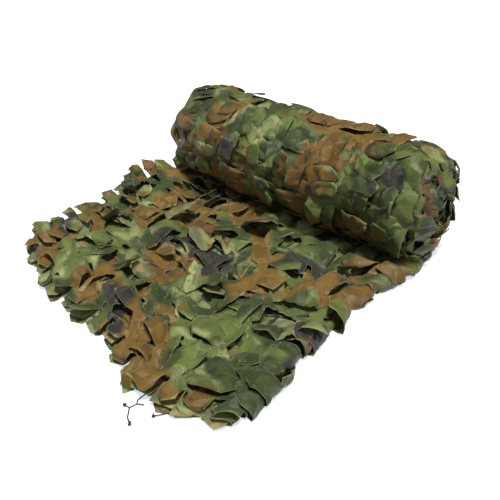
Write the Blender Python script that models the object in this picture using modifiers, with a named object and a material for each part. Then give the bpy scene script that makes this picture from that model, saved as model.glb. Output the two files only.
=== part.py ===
"""A camouflage net: printed cloth with leaf-shaped cuts, carried on a knotted cord net.

The net is folded once down its length and rolled up. Its loose end is laid out on the floor in front of
the roll. +X runs along the roll, +Y points from the laid-out end to the roll, +Z is up, and the floor is
z = 0. Everything is in metres.

Each piece is first modelled flat, where x runs across the cloth, y along it and z is the lift above it.
It is then draped: each point goes to its place on the fold, on the floor or round the roll.
"""

import math
import random

import bmesh
import bpy
from mathutils import Vector, noise

# The net as it is sold, and how it lies here.
NET_WIDTH = 1.50
NET_LENGTH = 2.00
FOLDED_WIDTH = NET_WIDTH / 2
LAID_LENGTH = 0.68
ROLLED_LENGTH = NET_LENGTH - LAID_LENGTH
TURN_PITCH = 0.0425  # two layers of net, leaves and all, in the roll
ROLL_RADIUS = math.sqrt(ROLLED_LENGTH * TURN_PITCH / math.pi)

# The cloth and its cut leaves. The real cloth is thinner; its creases and crumpled leaves are not.
CLOTH = 0.0022
LEAF_WIDTH = 0.045
LEAF_BLADE = 0.022  # each of a leaf's two bends is this long
LEAF_POINT = 0.012
LEAVES_ACROSS = 10
LEAVES_ALONG = 8
LEAF_LIFT = (16, 46)  # degrees that a cut leaf's root bends up by, from and to
LEAF_CURL = (-22, 24)  # degrees that its outer half bends on by
TUCKED_LIFT = 22  # degrees for the leaves beside the roll and the fold
CLOTH_STRAY = 0.011  # how far the cloth's rows stray from straight
LOWER_GAPS_ACROSS = LEAVES_ACROSS // 2
LOWER_GAP_WIDTH = 1.3 * LEAF_WIDTH

# The cord net between the layers, drawn at twice its real mesh.
CORD = 0.0024
CORD_MESH = 0.090
CORD_REACH = 0.070  # how far it reaches out in front of the cloth
KNOT = 0.009
KNOTTED_ROWS = 2  # the rows whose knots are drawn; behind them the cloth hides the knots
UNCUT_MESH = 5  # the only mesh of the front row that isn't cut away

# Heights of the stack.
GAP = 0.0003
LOWER_LAYER = CLOTH / 2
CORD_HEIGHT = CLOTH + GAP + 0.0003 + CORD / 2
PRESSED_LAYER = 0.016
LOOSE_LAYER = 0.026
LAYER_WAVE = 0.009
LEAF_CLEAR = 0.0075  # the middle of a hanging leaf stays this high, clear of the cords
ROLL_FLAT = PRESSED_LAYER + CLOTH / 2 + 0.0008
ROLL_SAG = 0.004  # how much of the roll its flat spot takes away
ROLL_AXIS = ROLL_FLAT + ROLL_RADIUS - ROLL_SAG

# The fold down the net's length, at +X in the laid-out end.
FOLD_X = FOLDED_WIDTH / 2 - 0.016
UPPER_WIDTH = FOLD_X + FOLDED_WIDTH / 2
FOLD_LENGTH = 0.027
FOLD_STEPS = 4

# The roll's skin: leaves in rows along it, and the wound edges at its ends.
LEAF_PITCH = FOLDED_WIDTH / LEAVES_ACROSS
LEAF_ROWS = 12
ROW_STAGGER = 0.26  # of the pitch, to one side and then to the other
ROW_WANDER = 0.07  # radians
SKIN_BUMP = 0.005
LEAF_STRIP = 0.005  # the strip of skin that a leaf grows from
END_RINGS = 9
END_RELIEF = 0.009  # the wound edges stand this far in and out of the roll's ends
ROLL_TURN = 2 * math.pi * ROLL_RADIUS
OUTER_TURN = 1.02  # the radius where the cloth comes up from the floor, as a share of ROLL_RADIUS
TURN_DROP = 0.06  # the share that it has lost when the turn comes down to the floor again
HIDDEN_BELOW = 0.72  # the cosine of the angle from straight down, within which no leaf stands off

# The laid-out end seen from above: how far its front edge reaches at each place across it,
FRONT_EDGE = (
    # x, y
    (-0.420, -0.575),
    (-0.330, -0.635),
    (-0.200, -0.665),
    (0.000, -0.675),
    (0.160, -0.715),
    (0.280, -0.705),
    (0.420, -0.640),
)
# and how it bows sideways and widens between its front edge and the roll.
SIDE_BOW = (
    # share of the way, shift along x
    (0.0, 0.000),
    (0.3, -0.022),
    (0.6, -0.032),
    (0.8, -0.024),
    (1.0, 0.000),
)
WIDENING = (
    # share of the way, width as a share of the folded width
    (0.0, 1.02),
    (0.3, 1.02),
    (0.8, 1.06),
    (1.0, 1.00),
)
BACK_EDGE = 0.030  # just past the line that the roll stands on
LEAFY_SHARE = 0.78  # the share of that way where the roll doesn't yet press on the leaves

# Directions in the flat cloth.
TO_FRONT = Vector((0, -1, 0))
TO_ROLL = Vector((0, 1, 0))
TO_LEFT = Vector((-1, 0, 0))
TO_FOLD = Vector((1, 0, 0))
LEAF_SIDES = (TO_FRONT, TO_FRONT, TO_LEFT, TO_ROLL, TO_FOLD)  # the front is twice as likely

COLOURS = {
    # material: colour, roughness
    "printed_cloth_laid": ((0.20, 0.25, 0.10, 1.0), 0.62),
    "printed_cloth_rolled": ((0.18, 0.23, 0.09, 1.0), 0.62),
    "cord": ((0.05, 0.07, 0.04, 1.0), 0.55),
}


def material(name):
    """A Principled material with the colour and roughness of the table above."""
    colour, roughness = COLOURS[name]
    made = bpy.data.materials.new(name)
    made.use_nodes = True
    shader = made.node_tree.nodes["Principled BSDF"]
    shader.inputs["Base Color"].default_value = colour
    shader.inputs["Roughness"].default_value = roughness
    made.diffuse_color = colour
    return made


def ripple(x, y, seed, size):
    """Smooth unevenness from -1 to 1 that repeats nowhere, with bumps about this size."""
    return max(-1.0, min(1.0, 1.6 * noise.noise(Vector((x / size, y / size, seed)))))


def smooth(low, high, value):
    """0 below low, 1 above high, and a soft step between them."""
    share = max(0.0, min(1.0, (value - low) / (high - low)))
    return share * share * (3 - 2 * share)


def from_table(table, place):
    """The table's value at this place, on a straight line between its rows."""
    for (start, first), (end, last) in zip(table, table[1:]):
        if place <= end:
            break
    return first + (last - first) * (place - start) / (end - start)


def cell_lines(count, pitch, leaf, start=0.0):
    """Grid lines that give each of count cells a band, a leaf's place and a band."""
    band = (pitch - leaf) / 2
    lines = [start]
    for cell in range(count):
        edge = start + cell * pitch
        lines += [edge + band, edge + band + leaf, edge + pitch]
    return lines


def flat_grid(bm, across, along):
    """A flat grid of faces on these lines. Returns its faces by (column, row)."""
    columns, rows = len(across) - 1, len(along) - 1
    bmesh.ops.create_grid(bm, x_segments=columns, y_segments=rows, size=1.0)
    for vert in bm.verts:
        column = round((vert.co.x + 1) / 2 * columns)
        row = round((vert.co.y + 1) / 2 * rows)
        vert.co = Vector((across[column], along[row], 0.0))
    faces = {}
    for face in bm.faces:
        centre = face.calc_center_median()
        column = sum(line < centre.x for line in across) - 1
        row = sum(line < centre.y for line in along) - 1
        faces[column, row] = face
    return faces


def edge_on(face, side):
    """The face's edge that lies furthest to this side, a unit vector in the flat cloth."""
    return max(face.edges, key=lambda e: (e.verts[0].co + e.verts[1].co).dot(side))


def leaf_from(bm, root, steps, point):
    """Grows a leaf from an edge of the cloth: a blade for each step, and a pointed end."""
    edge = root
    for step, width in steps:
        grown = bmesh.ops.extrude_edge_only(bm, edges=[edge])["geom"]
        tips = [g for g in grown if isinstance(g, bmesh.types.BMVert)]
        middle = sum((v.co for v in tips), Vector()) / len(tips)
        for vert in tips:
            vert.co = middle + (vert.co - middle) * width + step
        edge = next(e for e in tips[0].link_edges if e.other_vert(tips[0]) is tips[1])
    cut = bmesh.ops.subdivide_edges(bm, edges=[edge], cuts=1)["geom_inner"]
    for vert in cut:
        if isinstance(vert, bmesh.types.BMVert):
            vert.co += point


def cut_leaf(bm, face, side, tilt, curl):
    """Cuts a leaf free on three sides and bends it up from the fourth, so that it leaves a gap."""
    root = edge_on(face, -side)
    bmesh.ops.delete(bm, geom=[face], context="FACES_ONLY")
    first = side * math.cos(tilt) + Vector((0, 0, math.sin(tilt)))
    second = side * math.cos(tilt + curl) + Vector((0, 0, math.sin(tilt + curl)))
    steps = ((first * LEAF_BLADE, 0.90), (second * LEAF_BLADE, 0.94))
    leaf_from(bm, root, steps, second * LEAF_POINT)


def hang_leaf(bm, face, side, droop):
    """A leaf of the cloth's edge, which points outwards and droops by this much."""
    step = side * (LEAF_BLADE - 0.004) - Vector((0, 0, droop / 2))
    steps = ((step, 0.92), (step, 0.90))
    leaf_from(bm, edge_on(face, side), steps, side * LEAF_POINT * 0.8)


def laid_place(x, y_share):
    """Where a point of the laid-out cloth lies: x across it, and its share of the way to the roll."""
    front = from_table(FRONT_EDGE, x)
    y = front + (BACK_EDGE - front) * y_share
    way = max(0.0, min(1.0, y_share))
    x = x * from_table(WIDENING, way) + from_table(SIDE_BOW, way)
    return x + CLOTH_STRAY * ripple(y, x, 3.7, 0.13), y + CLOTH_STRAY * ripple(x, y, 7.9, 0.15)


def layer_height(x, y):
    """The upper layer's height: loose waves, pressed down where the roll stands on it."""
    loose = LOOSE_LAYER + LAYER_WAVE * ripple(x, y, 0.3, 0.13)
    pressed = smooth(-0.16, -0.05, y)
    return max(PRESSED_LAYER, loose * (1 - pressed) + PRESSED_LAYER * pressed)


def drape_laid(flat):
    """A point of the flat cloth, on the upper layer, round the fold or on the lower layer."""
    across, along, lift = flat
    share = along / LAID_LENGTH
    if across <= UPPER_WIDTH:
        x, y = laid_place(across - FOLDED_WIDTH / 2, share)
        return Vector((x, y, max(LEAF_CLEAR, layer_height(x, y) + lift)))
    if across < UPPER_WIDTH + FOLD_LENGTH:
        turn = math.pi * (across - UPPER_WIDTH) / FOLD_LENGTH
        x, y = laid_place(FOLD_X, share)
        top = layer_height(x, y)
        radius = (top - LOWER_LAYER) / 2
        return Vector((x + radius * math.sin(turn), y, LOWER_LAYER + radius * (1 + math.cos(turn))))
    x, y = laid_place(FOLD_X - (across - UPPER_WIDTH - FOLD_LENGTH), share)
    return Vector((x, y, LOWER_LAYER))


def drape(bm, place):
    """Moves each point of the flat cloth to its place, and turns the faces outwards."""
    for vert in bm.verts:
        vert.co = place(vert.co)
    bmesh.ops.recalc_face_normals(bm, faces=bm.faces)


def add_object(name, bm, slot, collection):
    """Makes the mesh an object of this name and material, in the net's collection."""
    mesh = bpy.data.meshes.new(name)
    bm.to_mesh(mesh)
    bm.free()
    made = bpy.data.objects.new(name, mesh)
    made.data.materials.append(material(slot))
    collection.objects.link(made)
    return made


def thicken(made, thickness):
    """Gives a flat piece its thickness, half to each side."""
    solidify = made.modifiers.new("cloth_thickness", "SOLIDIFY")
    solidify.thickness = thickness
    solidify.offset = 0.0
    return made


def laid_lines():
    """The flat cloth's grid lines: across the upper layer, the fold and the lower layer, and along it."""
    across = cell_lines(LEAVES_ACROSS, UPPER_WIDTH / LEAVES_ACROSS, LEAF_WIDTH)
    across += [UPPER_WIDTH + FOLD_LENGTH * (step + 1) / FOLD_STEPS for step in range(FOLD_STEPS)]
    lower_pitch = (UPPER_WIDTH - 0.012) / LOWER_GAPS_ACROSS
    across += cell_lines(LOWER_GAPS_ACROSS, lower_pitch, LOWER_GAP_WIDTH, across[-1])[1:]
    along = cell_lines(LEAVES_ALONG, LAID_LENGTH * LEAFY_SHARE / LEAVES_ALONG, LEAF_WIDTH)
    under_roll = LAID_LENGTH - along[-1]
    along += [along[-1] + under_roll * third / 3 for third in (1, 2, 3)]
    return across, along


def laid_cloth(collection):
    """The laid-out end: one cloth, folded back under itself at +X, with its leaves cut and bent up."""
    chance = random.Random(11)
    across, along = laid_lines()
    last_row, last_column = LEAVES_ALONG - 1, LEAVES_ACROSS - 1
    lower_start = 3 * LEAVES_ACROSS + FOLD_STEPS

    bm = bmesh.new()
    faces = flat_grid(bm, across, along)
    for row in range(LEAVES_ALONG):
        for column in range(LEAVES_ACROSS):
            side = chance.choice(LEAF_SIDES)
            tilt, curl = chance.uniform(*LEAF_LIFT), chance.uniform(*LEAF_CURL)
            if row == last_row:
                tilt, curl = TUCKED_LIFT, 0
            elif column == last_column:
                side, tilt = TO_FOLD, TUCKED_LIFT
            place = faces[3 * column + 1, 3 * row + 1]
            cut_leaf(bm, place, side, math.radians(tilt), math.radians(curl))
        for column in range(LOWER_GAPS_ACROSS):
            gap = faces[lower_start + 3 * column + 1, 3 * row + 1]
            bmesh.ops.delete(bm, geom=[gap], context="FACES_ONLY")
        hang_leaf(bm, faces[0, 3 * row + 1], TO_LEFT, chance.uniform(-0.012, 0.012))
    hang_leaf(bm, faces[0, 3 * LEAVES_ALONG], TO_LEFT, -0.030)
    hang_leaf(bm, faces[0, 3 * LEAVES_ALONG + 1], TO_LEFT, 0.004)
    for column in range(LEAVES_ACROSS):
        hang_leaf(bm, faces[3 * column + 1, 0], TO_FRONT, chance.uniform(-0.004, 0.014))
    drape(bm, drape_laid)
    return thicken(add_object("garnish_laid_end", bm, "printed_cloth_laid", collection), CLOTH)


def roll_radius(turned):
    """The roll's radius this far round from the floor, up its back and down its front."""
    round_share = turned / (2 * math.pi)
    wound_in = max(round_share, 1 - smooth(0.0, 0.10, round_share))
    return ROLL_RADIUS * (OUTER_TURN - TURN_DROP * wound_in)


def roll_point(flat):
    """A point of the roll's skin. Flat x runs from one end's centre, along the roll, to the other's."""
    across, along, lift = flat
    turned = along / ROLL_RADIUS
    outer = roll_radius(turned)
    half = FOLDED_WIDTH / 2
    if ROLL_RADIUS <= across <= ROLL_RADIUS + FOLDED_WIDTH:
        x = across - ROLL_RADIUS - half
        row = int(LEAF_ROWS * along / ROLL_TURN + 1e-6)
        inside = 1 - abs(x / half) ** 3
        x += (ROW_STAGGER if row % 2 else -ROW_STAGGER) * LEAF_PITCH * inside
        wander = ripple(x, 0.8 * math.sin(turned) * ROLL_RADIUS, math.cos(turned), 0.12)
        turned += ROW_WANDER * wander * inside * math.sin(turned / 2)
        bump = ripple(x, 0.6 * math.sin(turned) * ROLL_RADIUS, 0.6 * math.cos(turned), 0.10)
        radius = outer + lift + SKIN_BUMP * bump
    else:
        end = -1 if across < ROLL_RADIUS else 1
        inwards = across if end < 0 else 2 * ROLL_RADIUS + FOLDED_WIDTH - across
        radius = inwards * outer / ROLL_RADIUS
        wind = math.cos(2 * math.pi * (radius / TURN_PITCH) - turned)
        relief = END_RELIEF * wind * min(1.0, 2 * radius / TURN_PITCH)
        x = end * (half - END_RELIEF / 2 + lift + relief)
    y = radius * math.sin(turned)
    z = ROLL_AXIS - radius * math.cos(turned)
    return Vector((x, y, max(z, ROLL_FLAT)))


def fin_leaf(bm, face, steps):
    """A leaf that stands off the roll: a strip of the skin, drawn out and narrowed in steps."""
    for step, width, thickness in steps:
        face = bmesh.ops.extrude_discrete_faces(bm, faces=[face])["faces"][0]
        middle = face.calc_center_median()
        for vert in face.verts:
            apart = vert.co - middle
            scaled = Vector((apart.x * width, apart.y * thickness, apart.z))
            vert.co = middle + scaled + step


def roll_lines():
    """The grid lines of the roll's skin: over one end, along the roll and over the other; and round it."""
    rings = [ROLL_RADIUS * ring / END_RINGS for ring in range(END_RINGS)]
    across = rings + cell_lines(LEAVES_ACROSS, LEAF_PITCH, LEAF_WIDTH, ROLL_RADIUS)
    across += [2 * ROLL_RADIUS + FOLDED_WIDTH - ring for ring in reversed(rings)]
    row_pitch = ROLL_TURN / LEAF_ROWS
    steps = (0.0, LEAF_STRIP, (LEAF_STRIP + row_pitch) / 2)
    along = [row * row_pitch + step for row in range(LEAF_ROWS) for step in steps]
    return across, along + [ROLL_TURN]


def rolled_cloth(collection):
    """The rolled-up length as its wound form, with wound edges at its ends and leaves that stand off."""
    chance = random.Random(23)
    across, along = roll_lines()

    bm = bmesh.new()
    faces = flat_grid(bm, across, along)
    for row in range(1, LEAF_ROWS):
        if math.cos(2 * math.pi * row / LEAF_ROWS) > HIDDEN_BELOW:
            continue
        for column in range(LEAVES_ACROSS):
            rise = chance.uniform(0.007, 0.012)
            sideways = chance.uniform(-0.006, 0.006)
            steps = (
                # step off the skin, what is left of the width, what is left of the thickness
                (Vector((0, 0.026, rise)), 0.92, 1.0),
                (Vector((sideways, 0.018, rise * 0.4)), 0.50, 1.0),
            )
            fin_leaf(bm, faces[END_RINGS + 3 * column + 1, 3 * row], steps)
        for column in (END_RINGS - 1, len(across) - 1 - END_RINGS):
            steps = ((Vector((0, 0, chance.uniform(0.012, 0.024))), 0.35, 0.60),)
            fin_leaf(bm, faces[column, 3 * row + 1], steps)
    drape(bm, roll_point)
    bmesh.ops.remove_doubles(bm, verts=bm.verts, dist=1e-5)
    bmesh.ops.recalc_face_normals(bm, faces=bm.faces)
    return add_object("garnish_roll", bm, "printed_cloth_rolled", collection)


def cord_place(flat):
    """A point of the cord net, between the two layers of cloth and just out in front of them."""
    x, y = laid_place(flat.x, flat.y / LAID_LENGTH)
    return Vector((x, y, CORD_HEIGHT))


def open_mesh(bm, face, knotted):
    """Cuts one mesh of the cord net open, and leaves its bars, with half of each knot in its corners."""
    centre = face.calc_center_median()
    bars = bmesh.ops.inset_individual(bm, faces=[face], thickness=0.0)["faces"]
    corners = list(face.verts)
    for vert in corners:
        vert.co.x += math.copysign(CORD / 2, centre.x - vert.co.x)
        vert.co.y += math.copysign(CORD / 2, centre.y - vert.co.y)
    if knotted:
        share = KNOT / CORD_MESH
        for edge in list(face.edges):
            first, last = edge.verts[0], edge.verts[1]
            _, middle = bmesh.utils.edge_split(edge, first, share)
            rest = next(e for e in middle.link_edges if e.other_vert(middle) is last)
            bmesh.utils.edge_split(rest, last, share / (1 - share))
        for vert in corners:
            vert.co.x += math.copysign(KNOT / 4, centre.x - vert.co.x)
            vert.co.y += math.copysign(KNOT / 4, centre.y - vert.co.y)
    bmesh.ops.delete(bm, geom=[face], context="FACES_ONLY")
    return bars


def cord_net(collection):
    """The knotted net that carries the cloth: bars of cord, and one mesh that reaches out in front."""
    columns = int((UPPER_WIDTH - CORD_MESH) / CORD_MESH)
    rows = int(0.95 * LAID_LENGTH / CORD_MESH)
    left = -columns * CORD_MESH / 2
    across = [left + CORD_MESH * column for column in range(columns + 1)]
    along = [-CORD_REACH] + [CORD_MESH * (row + 0.35) for row in range(rows)]

    bm = bmesh.new()
    uncut_middle = (across[UNCUT_MESH] + across[UNCUT_MESH + 1]) / 2
    for (column, row), face in flat_grid(bm, across, along).items():
        for bar in open_mesh(bm, face, row < KNOTTED_ROWS):
            place = bar.calc_center_median()
            beside_uncut = abs(place.x - uncut_middle) < CORD_MESH / 2 + CORD
            if row == 0 and place.y < along[1] - CORD and not beside_uncut:
                bmesh.ops.delete(bm, geom=[bar], context="FACES_ONLY")
    drape(bm, cord_place)
    return thicken(add_object("cord_net", bm, "cord", collection), CORD)


def centre_on_floor(objects):
    """Puts the middle of everything over the origin, with its lowest point on the floor."""
    graph = bpy.context.evaluated_depsgraph_get()
    corners = []
    for made in objects:
        mesh = made.evaluated_get(graph).to_mesh()
        corners += [vert.co.copy() for vert in mesh.vertices]
        made.evaluated_get(graph).to_mesh_clear()
    low = Vector(min(corner[axis] for corner in corners) for axis in range(3))
    high = Vector(max(corner[axis] for corner in corners) for axis in range(3))
    for made in objects:
        made.location = Vector((-(low.x + high.x) / 2, -(low.y + high.y) / 2, -low.z))
    print("centred by", tuple(round(value, 5) for value in objects[0].location))


def main():
    for old in list(bpy.data.objects):
        bpy.data.objects.remove(old)
    collection = bpy.data.collections.new("camouflage_net")
    bpy.context.scene.collection.children.link(collection)
    laid = laid_cloth(collection)
    rolled = rolled_cloth(collection)
    cords = cord_net(collection)
    bpy.context.view_layer.update()
    centre_on_floor([laid, rolled, cords])


main()
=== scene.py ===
# %% [markdown]
# # A camouflage net, folded in half and partly rolled
#
# The real net is thin printed polyester cloth, the garnish, tied to both faces of a knotted cord net.
# Leaves are cut into the cloth on three sides and stay joined to it at their roots, so nothing is cut
# away and no leaf is sewn on. The net is folded once down its length and rolled up, and its loose end
# is laid out in front of the roll.
#
# This lesson does what the maker does. It cuts leaves into flat cloth, bends each leaf at its root and
# along its creases, and only then lays the cloth on the floor or winds it round the roll. The packed
# model gives the frame. Every size below is in metres, unless its name ends in MM.

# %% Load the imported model
import math
import random

import bpy
import numpy as np
from mathutils import Matrix, Vector, kdtree, noise
from mathutils.geometry import delaunay_2d_cdt


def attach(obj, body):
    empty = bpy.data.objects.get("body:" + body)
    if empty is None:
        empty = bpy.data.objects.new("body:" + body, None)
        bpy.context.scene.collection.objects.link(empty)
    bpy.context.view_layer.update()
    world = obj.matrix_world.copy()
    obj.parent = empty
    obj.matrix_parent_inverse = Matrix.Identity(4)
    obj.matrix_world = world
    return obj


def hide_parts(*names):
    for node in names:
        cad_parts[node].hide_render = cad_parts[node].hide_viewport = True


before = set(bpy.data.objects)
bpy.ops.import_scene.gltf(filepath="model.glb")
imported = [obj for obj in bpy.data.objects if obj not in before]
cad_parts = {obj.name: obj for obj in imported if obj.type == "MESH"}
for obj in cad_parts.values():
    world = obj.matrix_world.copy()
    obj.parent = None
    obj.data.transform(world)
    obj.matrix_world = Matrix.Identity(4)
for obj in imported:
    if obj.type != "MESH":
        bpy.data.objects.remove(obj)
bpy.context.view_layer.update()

# %% [markdown]
# ## The camera
#
# A camera could be placed by eye, but here its angle was fitted to the picture from the roll's length
# and height. It stands in front of the folded side, 41 degrees round and 32 degrees up. Its three
# directions are worked out from those angles, and the lens follows from the focal length in pixels.

# %% Camera
PICTURE_WIDTH = 500
FOCAL_PIXELS = 596.64
CAMERA_AZIMUTH = math.radians(40.93)
CAMERA_ELEVATION = math.radians(32.46)
CAMERA_TARGET = Vector((0.0486, 0.0765, 0.0))
CAMERA_DISTANCE = 1.5176


def add_object(name, data):
    """Puts an object with this data into the scene."""
    made = bpy.data.objects.new(name, data)
    bpy.context.scene.collection.objects.link(made)
    return made


def make_camera():
    """Adds the camera and makes it the scene's own."""
    level = math.cos(CAMERA_ELEVATION)
    back = Vector((
        math.sin(CAMERA_AZIMUTH) * level,
        -math.cos(CAMERA_AZIMUTH) * level,
        math.sin(CAMERA_ELEVATION),
    ))
    right = Vector((math.cos(CAMERA_AZIMUTH), math.sin(CAMERA_AZIMUTH), 0.0))
    up = back.cross(right)
    data = bpy.data.cameras.new("camera")
    data.sensor_width = 36.0
    data.lens = data.sensor_width * FOCAL_PIXELS / PICTURE_WIDTH
    camera = add_object("camera", data)
    camera.matrix_world = Matrix((right, up, back)).transposed().to_4x4()
    camera.location = CAMERA_TARGET + back * CAMERA_DISTANCE
    bpy.context.scene.camera = camera
    return camera


print("lens:", round(make_camera().data.lens, 2), "mm")

# %% [markdown]
# ## Colours and nodes
#
# Colours are written as the eye reads them, in sRGB, and one function turns them into the linear values
# that Blender computes with. Another starts a material and sets the values that are the same all over
# it. A third adds any node with its settings and its links, for materials and for Geometry Nodes alike,
# so that a tree reads from top to bottom like a recipe.

# %% Helpers for colours and nodes


def linear(code):
    """A linear RGBA colour from an sRGB hex code such as 6f8148."""
    channels = [int(code[i:i + 2], 16) / 255 for i in (0, 2, 4)]
    return tuple(c / 12.92 if c <= 0.04045 else ((c + 0.055) / 1.055) ** 2.4 for c in channels) + (1.0,)


def add_node(tree, kind, settings=None, links=None):
    """Adds a node, gives its sockets and properties their values, and links its inputs."""
    node = tree.nodes.new(kind)
    for key, value in (settings or {}).items():
        if isinstance(key, int) or key in node.inputs:
            node.inputs[key].default_value = value
        else:
            setattr(node, key, value)
    for key, source in (links or {}).items():
        tree.links.new(source, node.inputs[key])
    return node


def new_material(name, finish):
    """A new material, its node tree and its shader, with the finish set on the shader's own sockets."""
    made = bpy.data.materials.new(name)
    made.use_nodes = True
    shader = made.node_tree.nodes["Principled BSDF"]
    for socket, value in finish.items():
        shader.inputs[socket].default_value = value
    return made, made.node_tree, shader


print("mid grey as Blender computes with it:", round(linear("808080")[0], 3))

# %% [markdown]
# ## The floor and the light
#
# The net lies on a white floor in a studio, under one broad lamp that is nearly overhead. Two weaker
# lamps shine in from the sides, and the pale ceiling gives a very soft light. Area lamps would do, but
# they fall off across the floor. Sun lamps with a wide angle light all of it evenly and still give
# soft shadows under the leaves.
#
# White surroundings would brighten the lower half of the roll from below. The real one gets darker
# towards the cloth that it lies on, so the floor and the room are white to the camera alone and throw
# no light back at the net.

# %% Floor and light
FLOOR_SIZE = 30.0
FLOOR_GLOW = 0.68  # the light that the floor gives by itself, so that it looks white and not grey
ROOM_STRENGTH = 1.05
LAMPS = (
    # name, where it shines from, its strength, how broad it is in degrees
    ("broad_lamp_above", (0.18, -0.10, 0.98), 2.33, 12),
    ("lamp_at_the_left", (-0.84, -0.30, 0.45), 0.27, 26),
    ("lamp_at_the_right", (0.88, -0.14, 0.45), 0.34, 26),
    ("white_ceiling", (0.0, -0.10, 0.99), 0.22, 150),
)


def make_floor():
    """Adds the white floor, which isn't part of the object."""
    half = FLOOR_SIZE / 2
    mesh = bpy.data.meshes.new("floor")
    corners = [(-half, -half, 0), (half, -half, 0), (half, half, 0), (-half, half, 0)]
    mesh.from_pydata(corners, [], [(0, 1, 2, 3)])
    paint, _, _ = new_material("white_studio_floor", {
        "Base Color": linear("fbfbfc"),
        "Roughness": 0.9,
        "Specular IOR Level": 0.1,
        "Emission Color": linear("f6f7ff"),
        "Emission Strength": FLOOR_GLOW,
    })
    mesh.materials.append(paint)
    floor = add_object("floor", mesh)
    floor.visible_diffuse = False


def make_lamps():
    """Adds the lamps, each turned towards the net."""
    for name, source, strength, breadth in LAMPS:
        lamp = bpy.data.lights.new(name, "SUN")
        lamp.energy = strength
        lamp.angle = math.radians(breadth)
        sun = add_object(name, lamp)
        sun.rotation_euler = Vector(source).to_track_quat("Z", "Y").to_euler()


def make_room():
    """Adds the white surroundings, which only the camera sees."""
    world = bpy.data.worlds.new("pale_room")
    bpy.context.scene.world = world
    world.use_nodes = True
    room = world.node_tree.nodes["Background"]
    room.inputs["Color"].default_value = linear("ffffff")
    room.inputs["Strength"].default_value = ROOM_STRENGTH
    world.cycles_visibility.diffuse = False
    world.cycles_visibility.glossy = False
    bpy.context.scene.view_settings.view_transform = "Standard"


make_floor()
make_lamps()
make_room()
print("lamps:", [lamp[0] for lamp in LAMPS])

# %% [markdown]
# ## The woodland print
#
# The garnish is woven polyester, printed in the common woodland manner: soft-edged blotches of pale
# green, dark green, earth brown and charcoal on leaf green. The print could be painted by hand, but it
# has no picture in it, so layered noise draws it, with each colour over the one before. Where this net
# has a large blotch, a table makes its colour likelier round that place, or rarer. The pale green is
# partly print and partly painted sheen: its large blotches on the roll's top paint the light on it. The
# print reads the cloth's own UV map, which is in metres along the cloth, so the blotches fold with it.

# %% Colours and blotches of the print
LEAF_GREEN = "738242"
WOODLAND = (
    # name, colour, size of its blotches in mm, how rare it is, where its noise starts
    ("pale green", "a5ae70", 95, 0.560, (8.3, 4.4, 0.0)),
    ("dark green", "4b582e", 125, 0.480, (3.1, 7.7, 0.0)),
    ("earth brown", "8b6c31", 118, 0.515, (11.3, 2.9, 0.0)),
    ("charcoal", "433f38", 105, 0.675, (5.9, 17.2, 0.0)),
)
# The large blotches: where on the cloth each has its middle, across and along it, how far it reaches,
# and how much likelier it makes its colour there, or rarer if below 0. The laid-out end is printed up
# to 0.85 m along, the roll from 1.0 m on.
PLACED = {
    # partly print, partly painted sheen: the blotches from 1.0 m on lighten the roll's top
    "pale green": (
        (0.314, 0.105, 0.09, 0.14), (0.640, 0.198, 0.07, 0.16), (0.490, 0.484, 0.06, 0.14),
        (0.331, 1.255, 0.08, 0.18), (0.460, 1.297, 0.07, 0.18), (0.560, 1.420, 0.09, 0.12),
        (0.960, 1.400, 0.14, -0.12),
    ),
    "dark green": (
        (0.790, 0.560, 0.14, 0.16), (0.520, 0.570, 0.12, 0.14), (0.930, 0.420, 0.12, 0.14),
        (0.080, 0.320, 0.12, 0.12), (0.250, 0.600, 0.12, 0.12),
    ),
    "earth brown": (
        (0.163, 0.499, 0.12, 0.18), (0.374, 0.578, 0.11, 0.18), (0.365, 0.440, 0.08, 0.16),
        (0.444, 0.259, 0.10, 0.20), (0.590, 0.417, 0.10, 0.20), (0.688, 0.362, 0.09, 0.18),
        (0.842, 0.476, 0.13, 0.20), (0.560, 0.050, 0.10, 0.20), (0.736, -0.028, 0.09, 0.20),
        (0.060, 0.000, 0.11, 0.18), (0.790, 0.075, 0.13, -0.30), (0.742, 0.191, 0.17, -0.22),
        (0.593, 0.220, 0.10, -0.18), (0.214, 0.172, 0.16, -0.22), (0.682, 0.638, 0.16, -0.16),
        (0.690, 1.290, 0.17, 0.26), (0.625, 1.173, 0.10, 0.24), (0.638, 1.400, 0.07, 0.16),
        (0.290, 1.330, 0.11, 0.20), (0.412, 1.433, 0.07, 0.18), (0.469, 1.239, 0.07, 0.16),
        (0.130, 1.350, 0.09, 0.18), (0.808, 1.232, 0.08, 0.16), (0.490, 1.375, 0.08, -0.20),
        (0.930, 1.360, 0.19, -0.22), (1.060, 1.340, 0.09, 0.20), (1.055, 1.130, 0.07, 0.20),
    ),
    "charcoal": (
        (0.368, 0.370, 0.12, 0.30), (0.498, 0.348, 0.12, 0.30), (0.305, 0.325, 0.09, 0.30),
        (0.680, 0.496, 0.11, 0.30), (0.470, 0.060, 0.12, 0.30), (0.028, 0.115, 0.10, 0.27),
        (-0.060, 0.562, 0.09, 0.27), (0.883, 0.258, 0.11, 0.27), (0.350, 1.398, 0.08, 0.27),
        (0.155, 1.225, 0.08, 0.27), (0.928, 1.190, 0.06, 0.26), (0.909, 1.324, 0.05, 0.26),
        (1.000, 1.297, 0.05, 0.27), (1.050, 1.230, 0.05, 0.26), (0.850, 1.375, 0.08, -0.20),
    ),
}
BLOTCH_NOISE = {"Detail": 1.3, "Roughness": 0.45, "Distortion": 0.45}
BLOTCH_EDGE = 0.060  # how soft a blotch's edge is, in the noise's own values
print("large blotches:", {name: len(spots) for name, spots in PLACED.items()})

# %% The print's nodes


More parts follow.
